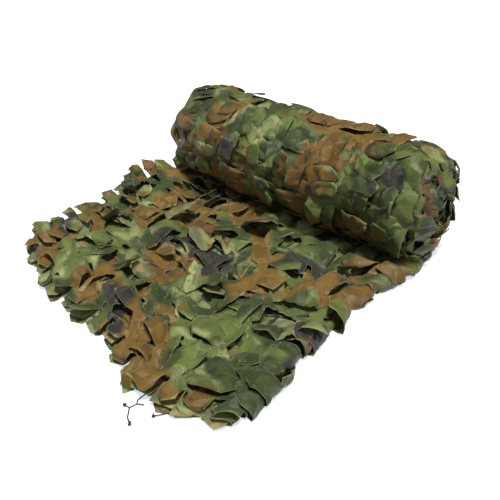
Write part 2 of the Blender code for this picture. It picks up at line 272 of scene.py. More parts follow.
def likelier_round(tree, place, likely, spot):
    """Makes a colour likelier round a spot of the cloth, or rarer if its push is below 0."""
    across, along, reach, push = spot
    away = add_node(
        tree, "ShaderNodeVectorMath", {"operation": "DISTANCE", 1: (across, along, 0.0)}, {0: place}
    )
    boost = add_node(
        tree,
        "ShaderNodeMapRange",
        {"interpolation_type": "SMOOTHSTEP", "From Max": reach, "To Min": push, "To Max": 0.0},
        {"Value": away.outputs["Value"]},
    )
    both = add_node(tree, "ShaderNodeMath", {"operation": "ADD"}, {0: likely, 1: boost.outputs[0]})
    return both.outputs[0]


def woodland_print(tree, place):
    """The print's colour: each blotch colour is laid over the ones before it."""
    ground = add_node(tree, "ShaderNodeRGB")
    ground.outputs[0].default_value = linear(LEAF_GREEN)
    cloth_colour = ground.outputs[0]
    for name, code, size_mm, rare, start in WOODLAND:
        moved = add_node(tree, "ShaderNodeMapping", {"Location": start}, {"Vector": place})
        blotch = add_node(
            tree,
            "ShaderNodeTexNoise",
            {"Scale": 1000 / size_mm, **BLOTCH_NOISE},
            {"Vector": moved.outputs[0]},
        )
        likely = blotch.outputs[0]
        for spot in PLACED[name]:
            likely = likelier_round(tree, place, likely, spot)
        mask = add_node(
            tree, "ShaderNodeMapRange", {"From Min": rare, "From Max": rare + BLOTCH_EDGE}, {"Value": likely}
        )
        laid = add_node(
            tree, "ShaderNodeMix", {"data_type": "RGBA", 7: linear(code)}, {0: mask.outputs[0], 6: cloth_colour}
        )
        cloth_colour = laid.outputs[2]
    return cloth_colour


# %% [markdown]
# ## The cloth under the print
#
# The cloth has been packed small and shaken out again. It is flat between its creases, so it catches
# the light in facets, and each facet's colour is also lightened or darkened at random, as painted light
# and shade. A leaf's large creases are in its mesh. The small facets could be too, but that takes
# millions of triangles, so a Voronoi pattern leans the surface a different way in each of its cells,
# and a finer one presses small dents into them. Over these lies the grain of the weave, in two crossed
# directions. Soft clouds of painted light and shade lie over the print, and the ink takes unevenly in
# small flecks.
#
# The back of the cloth shows the print paler and yellower, because the ink doesn't go right through,
# and every cut leaves a line of pale threads. That line is also a painted highlight, for cut edges
# that catch the light.

# %% Tones of the cloth
FACET_MM = 25  # from one crumpled facet to the next
CLOUD_SCALE = 33.0  # clouds of painted light and shade, about 30 mm from one to the next
FLECK_SCALE = 270.0  # threads that took more ink or less, in flecks about 4 mm long
BACK_TINT = "bdc083"
# pale threads at a cut, and the painted highlight along the leaves' cut edges
PALE_THREADS_AND_HIGHLIGHT = "c3c498"
CUT_LINE_MM = (0.3, 1.2)  # the pale line along a cut, pale threads and painted highlight: full up to here, and gone from there on
CUT_LINE_STRENGTH = 0.50


def painted_shade_and_ink_flecks(tree, place, cloth_colour):
    """Paints light and shade into the print by facets and by clouds, and tones it by flecks of uneven ink.
    Returns its colour, its facets and its clouds.
    """
    facet = add_node(tree, "ShaderNodeTexVoronoi", {"Scale": 1000 / FACET_MM}, {"Vector": place})
    cloud = add_node(tree, "ShaderNodeTexNoise", {"Scale": CLOUD_SCALE, "Detail": 3.0}, {"Vector": place})
    fleck = add_node(tree, "ShaderNodeTexNoise", {"Scale": FLECK_SCALE, "Detail": 1.5}, {"Vector": place})
    layers = (
        # what varies, which part of its range counts, and by how much it darkens and lightens
        # each facet lighter or darker: painted light and shade
        (facet.outputs["Color"], 0.2, 0.8, 0.20),
        # soft clouds: painted light and shade
        (cloud.outputs[0], 0.3, 0.7, 0.12),
        # flecks of threads that took more ink or less
        (fleck.outputs[0], 0.3, 0.7, 0.12),
    )
    for source, low, high, change in layers:
        shade = add_node(
            tree,
            "ShaderNodeMapRange",
            {"From Min": low, "From Max": high, "To Min": 1 - change, "To Max": 1 + change},
            {"Value": source},
        )
        toned = add_node(tree, "ShaderNodeHueSaturation", {}, {"Value": shade.outputs[0], "Color": cloth_colour})
        cloth_colour = toned.outputs[0]
    return cloth_colour, facet, cloud


def pale_cuts_and_edge_highlight(tree, cloth_colour):
    """Lays a pale line along every cut, from the distance that the mesh carries: pale threads, with a painted
    highlight where the cut edge catches the light.
    """
    near = add_node(tree, "ShaderNodeAttribute", {"attribute_name": "from_cut_mm"})
    line = add_node(
        tree,
        "ShaderNodeMapRange",
        {"From Min": CUT_LINE_MM[0], "From Max": CUT_LINE_MM[1], "To Min": CUT_LINE_STRENGTH, "To Max": 0.0},
        {"Value": near.outputs["Fac"]},
    )
    edged = add_node(
        tree, "ShaderNodeMix", {"data_type": "RGBA", 7: linear(PALE_THREADS_AND_HIGHLIGHT)}, {0: line.outputs[0], 6: cloth_colour}
    )
    return edged.outputs[2]


# %% Surface of the cloth
FACET_LEAN = 0.70  # how far a facet may lean
DENT_MM = 14  # from one small dent to the next
DENT_BUMP = {"Strength": 0.3, "Distance": 0.0032}
GRAIN_MM = 14.45  # real threads are 0.4 mm apart, too fine to show, so the weave is a coarse, faint grain
WAVE_SCALE = 2 * math.pi / 20  # the scale at which Blender's wave texture has a band every metre
WEAVE_BUMP = {"Strength": 0.2, "Distance": 0.0004}


def woven_surface(tree, place, facet):
    """The direction that the cloth faces: it leans with its facets, with dents and a grain on them."""
    lean = add_node(
        tree,
        "ShaderNodeVectorMath",
        {"operation": "SUBTRACT", 1: (0.5, 0.5, 0.5)},
        {0: facet.outputs["Color"]},
    )
    mesh = add_node(tree, "ShaderNodeNewGeometry")
    leaning = add_node(
        tree,
        "ShaderNodeVectorMath",
        {"operation": "MULTIPLY_ADD", 1: (FACET_LEAN, FACET_LEAN, FACET_LEAN)},
        {0: lean.outputs[0], 2: mesh.outputs["Normal"]},
    )
    faced = add_node(tree, "ShaderNodeVectorMath", {"operation": "NORMALIZE"}, {0: leaning.outputs[0]})
    rows = [
        add_node(
            tree,
            "ShaderNodeTexWave",
            {"bands_direction": way, "Scale": WAVE_SCALE * 1000 / GRAIN_MM, "Distortion": 0.4},
            {"Vector": place},
        ).outputs["Fac"]
        for way in ("X", "Y")
    ]
    threads = add_node(tree, "ShaderNodeMath", {"operation": "ADD"}, {0: rows[0], 1: rows[1]})
    dents = add_node(tree, "ShaderNodeTexVoronoi", {"Scale": 1000 / DENT_MM}, {"Vector": place})
    dented = add_node(
        tree, "ShaderNodeBump", DENT_BUMP, {"Height": dents.outputs["Distance"], "Normal": faced.outputs[0]}
    )
    woven = add_node(
        tree, "ShaderNodeBump", WEAVE_BUMP, {"Height": threads.outputs[0], "Normal": dented.outputs[0]}
    )
    return woven.outputs[0]


# %% The cloth's face, back and cut edge


def printed_cloth(name, back_share):
    """Woven polyester, a little glossy, with the woodland print; back_share is how pale its back is."""
    finish = {"Specular IOR Level": 0.42, "Sheen Weight": 0.10, "Sheen Roughness": 0.5}
    made, tree, shader = new_material(name, finish)
    place = add_node(tree, "ShaderNodeUVMap", {"uv_map": "cloth_metres"}).outputs[0]
    pale = add_node(
        tree,
        "ShaderNodeMix",
        {"data_type": "RGBA", 0: back_share, 7: linear(BACK_TINT)},
        {6: woodland_print(tree, place)},
    )
    cloth_colour, facet, cloud = painted_shade_and_ink_flecks(tree, place, pale.outputs[2])
    gloss = add_node(
        tree,
        "ShaderNodeMapRange",
        {"From Min": 0.3, "From Max": 0.7, "To Min": 0.42, "To Max": 0.58},
        {"Value": cloud.outputs[0]},
    )
    tree.links.new(pale_cuts_and_edge_highlight(tree, cloth_colour), shader.inputs["Base Color"])
    tree.links.new(gloss.outputs[0], shader.inputs["Roughness"])
    tree.links.new(woven_surface(tree, place, facet), shader.inputs["Normal"])
    return made


def thread_edge():
    """The cut through the cloth itself: pale, matt ends of threads."""
    made, tree, shader = new_material("cut_polyester_threads", {"Roughness": 0.8})
    place = add_node(tree, "ShaderNodeTexCoord").outputs["Object"]
    fray = add_node(tree, "ShaderNodeTexNoise", {"Scale": 400.0, "Detail": 1.0}, {"Vector": place})
    mix = add_node(
        tree,
        "ShaderNodeMix",
        {"data_type": "RGBA", 6: linear("7f8a5c"), 7: linear(PALE_THREADS_AND_HIGHLIGHT)},
        {0: fray.outputs[0]},
    )
    tree.links.new(mix.outputs[2], shader.inputs["Base Color"])
    return made


CLOTH_MATERIALS = (
    printed_cloth("printed_polyester_face", 0.0),
    printed_cloth("printed_polyester_back", 0.40),
    thread_edge(),
)
print("cloth materials:", [made.name for made in CLOTH_MATERIALS])

# %% [markdown]
# ## Cutting the leaves
#
# The leaves are cut in pairs, side by side, with one slit between them, and the pairs point four ways.
# A leaf is about 44 mm wide and 85 mm long, with straight sides and an angular tip. A real press cuts
# the same few leaves again and again, but bent and crumpled no two look alike, so here each has its own
# corners, drawn from the same ranges. Its outline starts and ends at its root, which is the one side
# that isn't cut.

# %% Outlines of leaves
LEAF_WIDTH = 0.044
LEAF_LENGTH = 0.087
SLIT_STRAY = 0.012  # how far the slit may be from the middle of a pair
PAIR_PITCH = 0.103  # from one pair of leaves to the next, with a ribbon of cloth between them
PAIR_TURN = 8.0  # degrees that a pair may be cut askew
FRINGE_PITCH = 0.058  # from one leaf of the cloth's edge to the next
FOUR_WAYS = (0, 90, 180, 270)
LEAF_SHAPE = {
    # ranges, as shares of a leaf's length or of its width
    "length": (0.90, 1.05),
    "shoulder": (0.66, 0.95),  # how far out its outer side is straight
    "width": (0.93, 1.02),  # how wide it is there
    "tip": (0.20, 0.80),  # where its tip is, from the slit to its outer side
    "slit start": (0.05, 0.16),
    "slit end": (0.64, 0.88),  # from here on the two leaves of a pair part
}
FRINGE_SHAPE = {
    # the same for the leaves of the cloth's edge
    "stray": (-0.05, 0.05),  # how far one is out of its place in the row
    "half width": (0.85, 1.25),
    "shoulder": (0.55, 0.90),
    "second shoulder": (0.60, 0.92),
    "tip": (-0.8, 0.8),  # where its tip is, from one side to the other
}


def leaf_corners(chance, side, slit_x, slit_start, slit_end):
    """One leaf of a pair, to the left (-1) or right (1) of the slit, from its root at y = 0."""
    length = LEAF_LENGTH * chance.uniform(*LEAF_SHAPE["length"])
    shoulder = length * chance.uniform(*LEAF_SHAPE["shoulder"])
    outer = side * LEAF_WIDTH * chance.uniform(*LEAF_SHAPE["width"])
    tip_x = slit_x + (outer - slit_x) * chance.uniform(*LEAF_SHAPE["tip"])
    root_corner = (side * LEAF_WIDTH, 0.0)
    return [root_corner, (outer, shoulder), (tip_x, length), (slit_x, slit_end), (slit_x, slit_start)]


def leaf_pair(chance, centre):
    """Two leaves side by side, turned one of four ways round their centre in the flat cloth."""
    slit_end = LEAF_LENGTH * chance.uniform(*LEAF_SHAPE["slit end"])
    slit_start = LEAF_LENGTH * chance.uniform(*LEAF_SHAPE["slit start"])
    slit_x = chance.uniform(-SLIT_STRAY, SLIT_STRAY)
    turn = math.radians(chance.choice(FOUR_WAYS) + chance.uniform(-PAIR_TURN, PAIR_TURN))
    rotation = np.array([[math.cos(turn), -math.sin(turn)], [math.sin(turn), math.cos(turn)]])
    leaves = []
    for side in (-1, 1):
        corners = np.array(leaf_corners(chance, side, slit_x, slit_start, slit_end))
        corners[:, 1] -= LEAF_LENGTH / 2
        leaves.append(corners @ rotation.T + centre)
    return leaves


def fringe_leaves(chance, start, end, outward, reaches):
    """Leaves of the cloth's edge, from start to end, which point outward."""
    start, end, outward = np.array(start), np.array(end), np.array(outward)
    way = (end - start) / np.linalg.norm(end - start)
    count = int(np.linalg.norm(end - start) / FRINGE_PITCH)
    leaves = []
    for place in range(count):
        middle = start + way * FRINGE_PITCH * (place + 0.5 + chance.uniform(*FRINGE_SHAPE["stray"]))
        half = LEAF_WIDTH / 2 * chance.uniform(*FRINGE_SHAPE["half width"])
        reach = LEAF_LENGTH * chance.uniform(*reaches)
        shoulder = reach * chance.uniform(*FRINGE_SHAPE["shoulder"])
        tip = half * chance.uniform(*FRINGE_SHAPE["tip"])
        second = reach * chance.uniform(*FRINGE_SHAPE["second shoulder"])
        leaves.append(np.array([
            middle - way * half,
            middle - way * half * 0.96 + outward * shoulder,
            middle + way * tip + outward * reach,
            middle + way * half * 0.94 + outward * second,
            middle + way * half,
        ]))
    return leaves


SAMPLE_PAIR = leaf_pair(random.Random(1), np.zeros(2))
print("a pair of leaves measures", (1000 * np.ptp(np.concatenate(SAMPLE_PAIR), axis=0)).round(), "mm")

# %% [markdown]
# ## Creases
#
# Thin cloth doesn't bend like rubber. It stays flat and turns at creases. A cloth simulation could find
# the creases, but with a thousand leaves it is slow and rounds them off. So each leaf has a bend at
# its root and two creases across it, a little askew, and each of these is a line in the mesh. A leaf's
# stance gives the range of its three angles, and where a leaf lies on the net picks its stance.

# %% Creases of a leaf
CREASE_PLACES = ((0.24, 0.42), (0.60, 0.76))
CREASE_ASKEW = math.radians(24)


def across_leaf(corners, share, askew):
    """Where a line that crosses a leaf at this share of its length meets its outline."""
    root = (corners[0] + corners[-1]) / 2
    along_root = (corners[-1] - corners[0]) / np.linalg.norm(corners[-1] - corners[0])
    inward = np.array([-along_root[1], along_root[0]])
    if np.dot(corners[2] - root, inward) < 0:
        inward = -inward
    reach = np.max((corners - root) @ inward)
    line = along_root * math.cos(askew) + inward * math.sin(askew)
    normal = inward * math.cos(askew) - along_root * math.sin(askew)
    offsets = (corners - (root + inward * reach * share)) @ normal
    meets = []
    for here, there, low, high in zip(corners, np.roll(corners, -1, 0), offsets, np.roll(offsets, -1)):
        if low * high < 0:
            meets.append(here + (there - here) * low / (low - high))
    if len(meets) < 2:
        return None
    meets.sort(key=lambda point: np.dot(point, line))
    return meets[0], meets[-1]


def bend_leaf(chance, corners, stance):
    """A leaf's root and creases, from the root outwards, each with the angle that it bends by."""
    bends = [((corners[0], corners[-1]), math.radians(chance.uniform(*stance["root"])))]
    for places, angles in zip(CREASE_PLACES, (stance["middle"], stance["tip"])):
        crease = across_leaf(corners, chance.uniform(*places), chance.uniform(-CREASE_ASKEW, CREASE_ASKEW))
        angle = math.radians(chance.uniform(*angles))
        if crease is not None:
            bends.append((crease, angle))
    return bends


HALFWAY = across_leaf(SAMPLE_PAIR[0], 0.5, 0.0)
print("a crease halfway along a leaf is", round(1000 * math.dist(*HALFWAY)), "mm long")

# %% [markdown]
# ## The flat cloth as a mesh
#
# A grid can't follow slanted cuts, so the cloth is triangulated: points along every cut and crease,
# and a jittered lattice of points between them. Each triangle then belongs to a leaf or to the cloth
# between the leaves. Points on a cut are doubled, so that the leaf comes free, while points on a root
# stay shared.

# %% Lines and distances in the flat cloth


def points_along(start, end, grain):
    """Evenly spaced points on a line, without its end."""
    count = max(1, round(float(np.linalg.norm(end - start)) / grain))
    return [start + (end - start) * step / count for step in range(count)]


def inside(corners, points):
    """Which of the points lie inside a polygon."""
    x, y = points.T
    hit = np.zeros(len(points), bool)
    for (x0, y0), (x1, y1) in zip(corners, np.roll(corners, -1, 0)):
        if y0 == y1:
            continue
        crosses = (y0 > y) != (y1 > y)
        hit ^= crosses & (x < (x1 - x0) * (y - y0) / (y1 - y0) + x0)
    return hit


def distance_to_line(points, start, end):
    """How far each point is from the line between two others."""
    way = end - start
    share = np.clip((points - start) @ way / (way @ way), 0, 1)
    return np.linalg.norm(points - start - share[:, None] * way, axis=1)


FROM_ROOT = distance_to_line(SAMPLE_PAIR[0], *SAMPLE_PAIR[0][[0, -1]])
print("a leaf's corners are", (1000 * FROM_ROOT).round(), "mm from its root")

# %% Triangulating the cloth
ROW_SHARE = 0.87  # rows of even triangles are this much closer than their points
LATTICE_STRAY = 0.15  # how far a point may be from its place in the lattice
CLEAR_OF_LINES = 0.62  # how far it stays from every line
HIDDEN_STEP = 3  # out of sight, only every third row and column is kept
SAME_POINT = 1e-6


def triangulate(chance, size, leaves, bends, grain, hidden):
    """Triangles of the cloth, with every cut and crease as a line of the mesh. What lies from
    hidden onwards across the cloth is out of sight, and gets few points of its own."""
    points, edges = [], []

    def draw(path, closed):
        """Adds the points and edges of a line through these places, or of a closed outline."""
        first = len(points)
        stops = list(zip(path, path[1:] + path[:1])) if closed else list(zip(path, path[1:]))
        for start, end in stops:
            points.extend(points_along(start, end, grain))
        if not closed:
            points.append(path[-1])
        last = len(points) - 1
        edges.extend((i, i + 1) for i in range(first, last))
        if closed:
            edges.append((last, first))

    width, length = size
    draw([np.array(c, float) for c in ((0, 0), (width, 0), (width, length), (0, length))], True)
    for corners, own in zip(leaves, bends):
        draw(list(corners), True)
        for (start, end), _ in own[1:]:
            draw([start, end], False)
    tree = kdtree.KDTree(len(points))
    for i, point in enumerate(points):
        tree.insert((point[0], point[1], 0), i)
    tree.balance()
    row_height = grain * ROW_SHARE
    stray = (-LATTICE_STRAY, LATTICE_STRAY)
    for row in range(int(length / row_height)):
        for column in range(int(width / grain)):
            x = (column + 0.5 + 0.5 * (row % 2)) * grain + chance.uniform(*stray) * grain
            y = (row + 0.5) * row_height + chance.uniform(*stray) * grain
            if x > hidden and (row % HIDDEN_STEP or column % HIDDEN_STEP):
                continue
            if tree.find((x, y, 0))[2] > CLEAR_OF_LINES * grain:
                points.append(np.array((x, y)))
    verts, _, faces = delaunay_2d_cdt([Vector(p) for p in points], edges, [], 0, SAME_POINT, False)[:3]
    return np.array([tuple(v) for v in verts]), np.array(faces, int)


def sort_by_leaf(flat, triangles, size, leaves):
    """The leaf that each triangle belongs to, -1 for the cloth between them, -2 for outside."""
    middles = flat[triangles].mean(axis=1)
    x, y = middles.T
    owner = np.where((x > 0) & (x < size[0]) & (y > 0) & (y < size[1]), -1, -2)
    for leaf, corners in enumerate(leaves):
        low, high = corners.min(axis=0), corners.max(axis=0)
        near = np.flatnonzero((middles > low).all(axis=1) & (middles < high).all(axis=1))
        owner[near[inside(corners, middles[near])]] = leaf
    return owner


SAMPLE_CLOTH = triangulate(random.Random(1), (0.2, 0.2), [], [], 0.01, math.inf)
print("0.2 m of uncut cloth has", len(SAMPLE_CLOTH[1]), "triangles with points 10 mm apart")

# %% [markdown]
# ## Bending the leaves
#
# Bones or shape keys could bend a leaf, but there are too many leaves to set up, so plain geometry does
# it. The bends are made in the flat cloth, from the tip back to the root: first the tip may curl up,
# then everything beyond a crease turns about it, and that crease is carried along by the next one. A
# leaf is also cupped and twisted a little and swung to one side, because cut cloth never lies quite
# flat or straight. Each point remembers an anchor, the place near its root that carries it, so that a
# stiff leaf doesn't follow every wave of the cloth beneath it.

# %% Bending one leaf
CUP = 0.0028  # how far the middle of a leaf may rise or sink from its sides
CUP_FULL_AT = 0.02  # how far out from the root it is fully cupped
ROOT_DEPTH = 0.030  # the part of a leaf that still follows the cloth at its root
CURL_START = (0.35, 0.7)  # where a tip that curls begins to, as a share of the leaf
CURL_RADIUS = (0.013, 0.034)
BEYOND_CREASE = 1e-7  # points this close to a crease are on it and don't turn


def turned_about(points, start, end, angle):
    """The points, turned about a line of the flat cloth by an angle."""
    axis = np.append(end - start, 0.0)
    axis /= np.linalg.norm(axis)
    arms = points - np.append(start, 0.0)
    straight = np.outer(arms @ axis, axis)
    round_ = arms - straight
    sideways = np.cross(axis, round_)
    return straight + round_ * math.cos(angle) + sideways * math.sin(angle) + np.append(start, 0.0)


def shape_leaf(chance, corners, bends, stance, places):
    """A leaf's points, curled, twisted and bent, and the anchors that they hang on."""
    root_start, root_end = bends[0][0]
    middle = (root_start + root_end) / 2
    way = (root_end - root_start) / np.linalg.norm(root_end - root_start)
    inward = np.array([-way[1], way[0]])
    if np.dot(corners[2] - root_start, inward) < 0:
        inward = -inward
    depth = (places - middle) @ inward
    cross = (places - middle) @ way
    cupped = 1 - (cross / LEAF_WIDTH * 2) ** 2
    height = chance.uniform(-CUP, CUP) * cupped * np.clip(depth / CUP_FULL_AT, 0, 1)
    curl_from = LEAF_LENGTH * chance.uniform(*CURL_START)
    curl_radius = chance.uniform(*CURL_RADIUS) * chance.choice((-1, 1))
    curled_depth = depth
    if chance.random() < stance["curl"]:
        turn = np.maximum(depth - curl_from, 0) / abs(curl_radius)
        curled_depth = np.where(turn > 0, curl_from + abs(curl_radius) * np.sin(turn), depth)
        height = height + curl_radius * (1 - np.cos(turn))
    held = np.clip(depth / ROOT_DEPTH, 0, 1)
    held = held * held * (3 - 2 * held)
    twist = math.radians(chance.uniform(-stance["twist"], stance["twist"])) * held
    flat = middle + np.outer(curled_depth, inward) + np.outer(cross * np.cos(twist), way)
    solid = np.column_stack([flat, height + cross * np.sin(twist)])
    for (start, end), angle in reversed(bends):
        across = np.array([-(end - start)[1], (end - start)[0]])
        if np.dot(corners[2] - start, across) < 0:
            start, end, across = end, start, -across
        beyond = (places - start) @ across > BEYOND_CREASE
        solid[beyond] = turned_about(solid[beyond], start, end, angle)
    swing = math.radians(chance.uniform(-stance["swing"], stance["swing"])) * held
    east, north = (solid[:, :2] - middle).T
    solid[:, 0] = middle[0] + east * np.cos(swing) - north * np.sin(swing)
    solid[:, 1] = middle[1] + east * np.sin(swing) + north * np.cos(swing)
    anchors = places + held[:, None] * (middle - places)
    return solid, anchors


QUARTER = turned_about(np.array([[0.0, 1.0, 0.0]]), np.zeros(2), np.array([1.0, 0.0]), math.pi / 2)
print("a point 1 m beyond a crease, turned a quarter about it, stands", round(QUARTER[0][2], 3), "m high")

# %% Bending every leaf of a sheet
FAR_FROM_CUTS = 0.05  # the distance to a cut, where there is none near
LEAF_REACH = 0.09  # how far from a leaf's middle its cuts can matter
ON_LINE = 1e-5  # points this close to a line are on it
LINES_PER_LEAF = 3  # creases are numbered, with room for this many in a leaf


def bend_cloth(chance, flat, triangles, owner, leaves, bends, stances):
    """Doubles the points on the cuts and bends every leaf. Returns the sheet's tables."""
    keep = owner >= -1
    triangles, owner = triangles[keep].copy(), owner[keep]
    points = [np.column_stack([flat, np.zeros(len(flat))])]
    anchors, origins = [flat], [np.arange(len(flat))]
    from_cut = [np.full(len(flat), FAR_FROM_CUTS)]
    crease = [np.full(len(flat), -1)]
    total = len(flat)
    for leaf, (corners, own) in enumerate(zip(leaves, bends)):
        near = np.flatnonzero(np.linalg.norm(flat - corners.mean(axis=0), axis=1) < LEAF_REACH)
        for a, b in zip(corners, corners[1:]):
            from_cut[0][near] = np.minimum(from_cut[0][near], distance_to_line(flat[near], a, b))
        mine = np.flatnonzero(owner == leaf)
        used = np.unique(triangles[mine])
        places = flat[used]
        free = distance_to_line(places, *own[0][0]) > ON_LINE
        solid, held = shape_leaf(chance, corners, own, stances[leaf], places)
        renamed = used.copy()
        renamed[free] = total + np.arange(free.sum())
        total += free.sum()
        triangles[mine] = renamed[np.searchsorted(used, triangles[mine])]
        points.append(solid[free])
        anchors.append(held[free])
        origins.append(used[free])
        to_cuts = [distance_to_line(places[free], a, b) for a, b in zip(corners, corners[1:])]
        from_cut.append(np.min(to_cuts, axis=0))
        lines = np.full(free.sum(), -1)
        for number, (line, _) in enumerate(own[1:]):
            lines[distance_to_line(places[free], *line) < ON_LINE] = LINES_PER_LEAF * leaf + number
        crease.append(lines)
    return {
        "points": np.concatenate(points),
        "anchors": np.concatenate(anchors),
        "triangles": triangles,
        "flat": flat[np.concatenate(origins)],
        "from_cut": np.concatenate(from_cut),
        "crease": np.concatenate(crease),
    }


def cut_cloth(seed, size, stance_at, fringes, grain, hidden=math.inf):
    """A sheet of cloth with its leaves cut and bent, still flat between them. Without stance_at, only
    its fringes have leaves."""
    chance = random.Random(seed)
    width, length = size
    leaves, bends, stances = [], [], []

    def add_leaf(corners, stance):
        """Keeps a leaf, with bends drawn from its stance."""
        leaves.append(corners)
        bends.append(bend_leaf(chance, corners, stance))
        stances.append(stance)

    if stance_at:
        columns, rows = round(width / PAIR_PITCH - 0.2), round(length / PAIR_PITCH - 0.2)
        for row in range(rows):
            for column in range(columns):
                centre = np.array([(column + 0.5) * width / columns, (row + 0.5) * length / rows])
                for corners in leaf_pair(chance, centre):
                    add_leaf(corners, stance_at(*centre))
    for start, end, outward, reaches, stance in fringes:
        for corners in fringe_leaves(chance, start, end, outward, reaches):
            add_leaf(corners, stance)
    flat, triangles = triangulate(chance, size, leaves, bends, grain, hidden)
    owner = sort_by_leaf(flat, triangles, size, leaves)
    print(len(leaves), "leaves in", round(width, 3), "x", round(length, 3), "m of cloth")
    return bend_cloth(chance, flat, triangles, owner, leaves, bends, stances)


# %% [markdown]
# ## From flat cloth to a piece
#
# Every sheet is draped point by point, by waves that were set for it. Loose cloth has two kinds: soft
# waves, and facets that stay flat between sharp creases. A loose net is also gathered. Pushed together
# to less than its flat size, it brings its leaves closer, while each leaf keeps its own size.
#
# The draped sheet then gets its UV map in metres, the distance to the nearest cut, and its thickness.
# The face, the back and the cut edge of the cloth each have their own material, which the Solidify
# modifier picks by its material offsets.

# %% Waves and facets
NOISE_GAIN = 1.6  # Blender's noise seldom reaches 1, so it is made larger and then clipped
FACET_TABLE = (97, 89)  # heights of the facets' corners, repeated beyond these
FACET_BEND = 0.45  # how far the rows of facets wander from straight lines
FACET_BEND_SIZE = 2.6
TRIANGLE_SKEW = 0.366  # leans a square grid over until its halves are even triangles


def ripple(seed, size, *place):
    """Smooth unevenness from -1 to 1, with bumps of about this size. Place is two or three arrays."""
    x, y = place[0] / size, place[1] / size
    z = place[2] / size if len(place) > 2 else np.zeros_like(x)
    values = [noise.noise(Vector((a, b, c + seed))) for a, b, c in zip(x, y, z)]
    return np.clip(NOISE_GAIN * np.array(values), -1, 1)


def facets(seed, size, x, y):
    """Unevenness from -1 to 1 that is flat between sharp creases, on triangles of about this size."""
    columns, rows = FACET_TABLE
    values = np.random.RandomState(seed).uniform(-1, 1, FACET_TABLE)
    x = x / size + FACET_BEND * ripple(seed + 0.5, FACET_BEND_SIZE * size, x, y)
    y = y / size + FACET_BEND * ripple(seed + 7.5, FACET_BEND_SIZE * size, y, x)
    skew = (x + y) * TRIANGLE_SKEW
    column, row = np.floor(x + skew).astype(int), np.floor(y + skew).astype(int)
    u, v = x + skew - column, y + skew - row

    def at(i, j):
        """The height of one corner of the triangles that the places lie on."""
        return values[(column + i) % columns, (row + j) % rows]

    right = (1 - u) * at(0, 0) + (u - v) * at(1, 0) + v * at(1, 1)
    left = (1 - v) * at(0, 0) + (v - u) * at(0, 1) + u * at(1, 1)
    return np.where(u > v, right, left)


def smooth(low, high, value):
    """0 below low, 1 above high, and a soft step between them."""
    share = np.clip((value - low) / (high - low), 0, 1)
    return share * share * (3 - 2 * share)


def gathered(sheet, gather):
    """Pushes the cloth together to this share of its size. A leaf keeps its own size, on its anchor."""
    lift = sheet["points"][:, 2]
    held = sheet["anchors"] * gather
    place = held + sheet["points"][:, :2] - sheet["anchors"]
    return place[:, 0], place[:, 1], lift, held[:, 0], held[:, 1]


METRE = np.linspace(0, 1, 500)
print("facets of 46 mm reach", facets(5, 0.046, METRE, METRE).max().round(2), "of their height in a metre")

# %% Making a piece of cloth
CLOTH_THICKNESS = 0.0005
CREASE_ANGLE = math.radians(30)
LINES_PER_SHEET = 5000  # keeps the crease numbers of one sheet apart from the next one's


def joined(sheets, table):
    """One of the tables of all the sheets, one after another."""
    return np.concatenate([sheet[table] for sheet in sheets])


def mark_creases(mesh, creased):
    """Marks the mesh's edges that lie along a leaf's crease as sharp."""
    ends = np.empty(2 * len(mesh.edges), int)
    mesh.edges.foreach_get("vertices", ends)
    first, second = creased[ends.reshape(-1, 2)].T
    sharp = np.empty(len(mesh.edges), bool)
    mesh.edges.foreach_get("use_edge_sharp", sharp)
    mesh.edges.foreach_set("use_edge_sharp", sharp | ((first == second) & (first >= 0)))


def cloth_piece(name, sheets, print_shift):
    """One object from draped sheets, each a dictionary of its tables."""
    starts = np.cumsum([0] + [len(sheet["draped"]) for sheet in sheets])
    for number, (sheet, start) in enumerate(zip(sheets, starts)):
        sheet["triangles"] = sheet["triangles"] + start
        sheet["crease"] = sheet["crease"] + LINES_PER_SHEET * (sheet["crease"] >= 0) * number
    used, triangles = np.unique(joined(sheets, "triangles"), return_inverse=True)
    triangles = triangles.reshape(-1, 3)
    mesh = bpy.data.meshes.new(name)
    mesh.from_pydata(joined(sheets, "draped")[used].tolist(), [], triangles.tolist())
    uv = mesh.uv_layers.new(name="cloth_metres")
    corners = np.empty(len(mesh.loops), int)
    mesh.loops.foreach_get("vertex_index", corners)
    flat = joined(sheets, "flat") + np.array(print_shift)
    uv.data.foreach_set("uv", flat[used][corners].astype(np.float32).ravel())
    near = mesh.attributes.new("from_cut_mm", "FLOAT", "POINT")
    near.data.foreach_set("value", (joined(sheets, "from_cut")[used] * 1000).astype(np.float32))
    mesh.shade_smooth()
    mesh.set_sharp_from_angle(angle=CREASE_ANGLE)
    mark_creases(mesh, joined(sheets, "crease")[used])
    for made in CLOTH_MATERIALS:
        mesh.materials.append(made)
    piece = add_object(name, mesh)
    thickness = piece.modifiers.new("cloth_thickness", "SOLIDIFY")
    thickness.thickness = CLOTH_THICKNESS
    thickness.offset = 0.0
    thickness.material_offset = 1
    thickness.material_offset_rim = 2
    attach(piece, "root")
    print(name, "has", len(triangles), "triangles before its thickness")
    return piece


print("the cloth is", 1000 * CLOTH_THICKNESS, "mm thick")

# %% [markdown]
# ## The laid-out end
#
# The net was folded once down its length, so its loose end is two nets thick, and each net has cloth
# on both faces. Four sheets could make this, but the fold joins them in twos: the outer garnish, which
# shows on top, goes round the fold at +X and comes back along the floor, and the inner garnish lies
# inside it. Both follow the same plan on the floor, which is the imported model's own: the front edge, a
# slight bow to the left, and loose waves that the roll presses flat at the back.

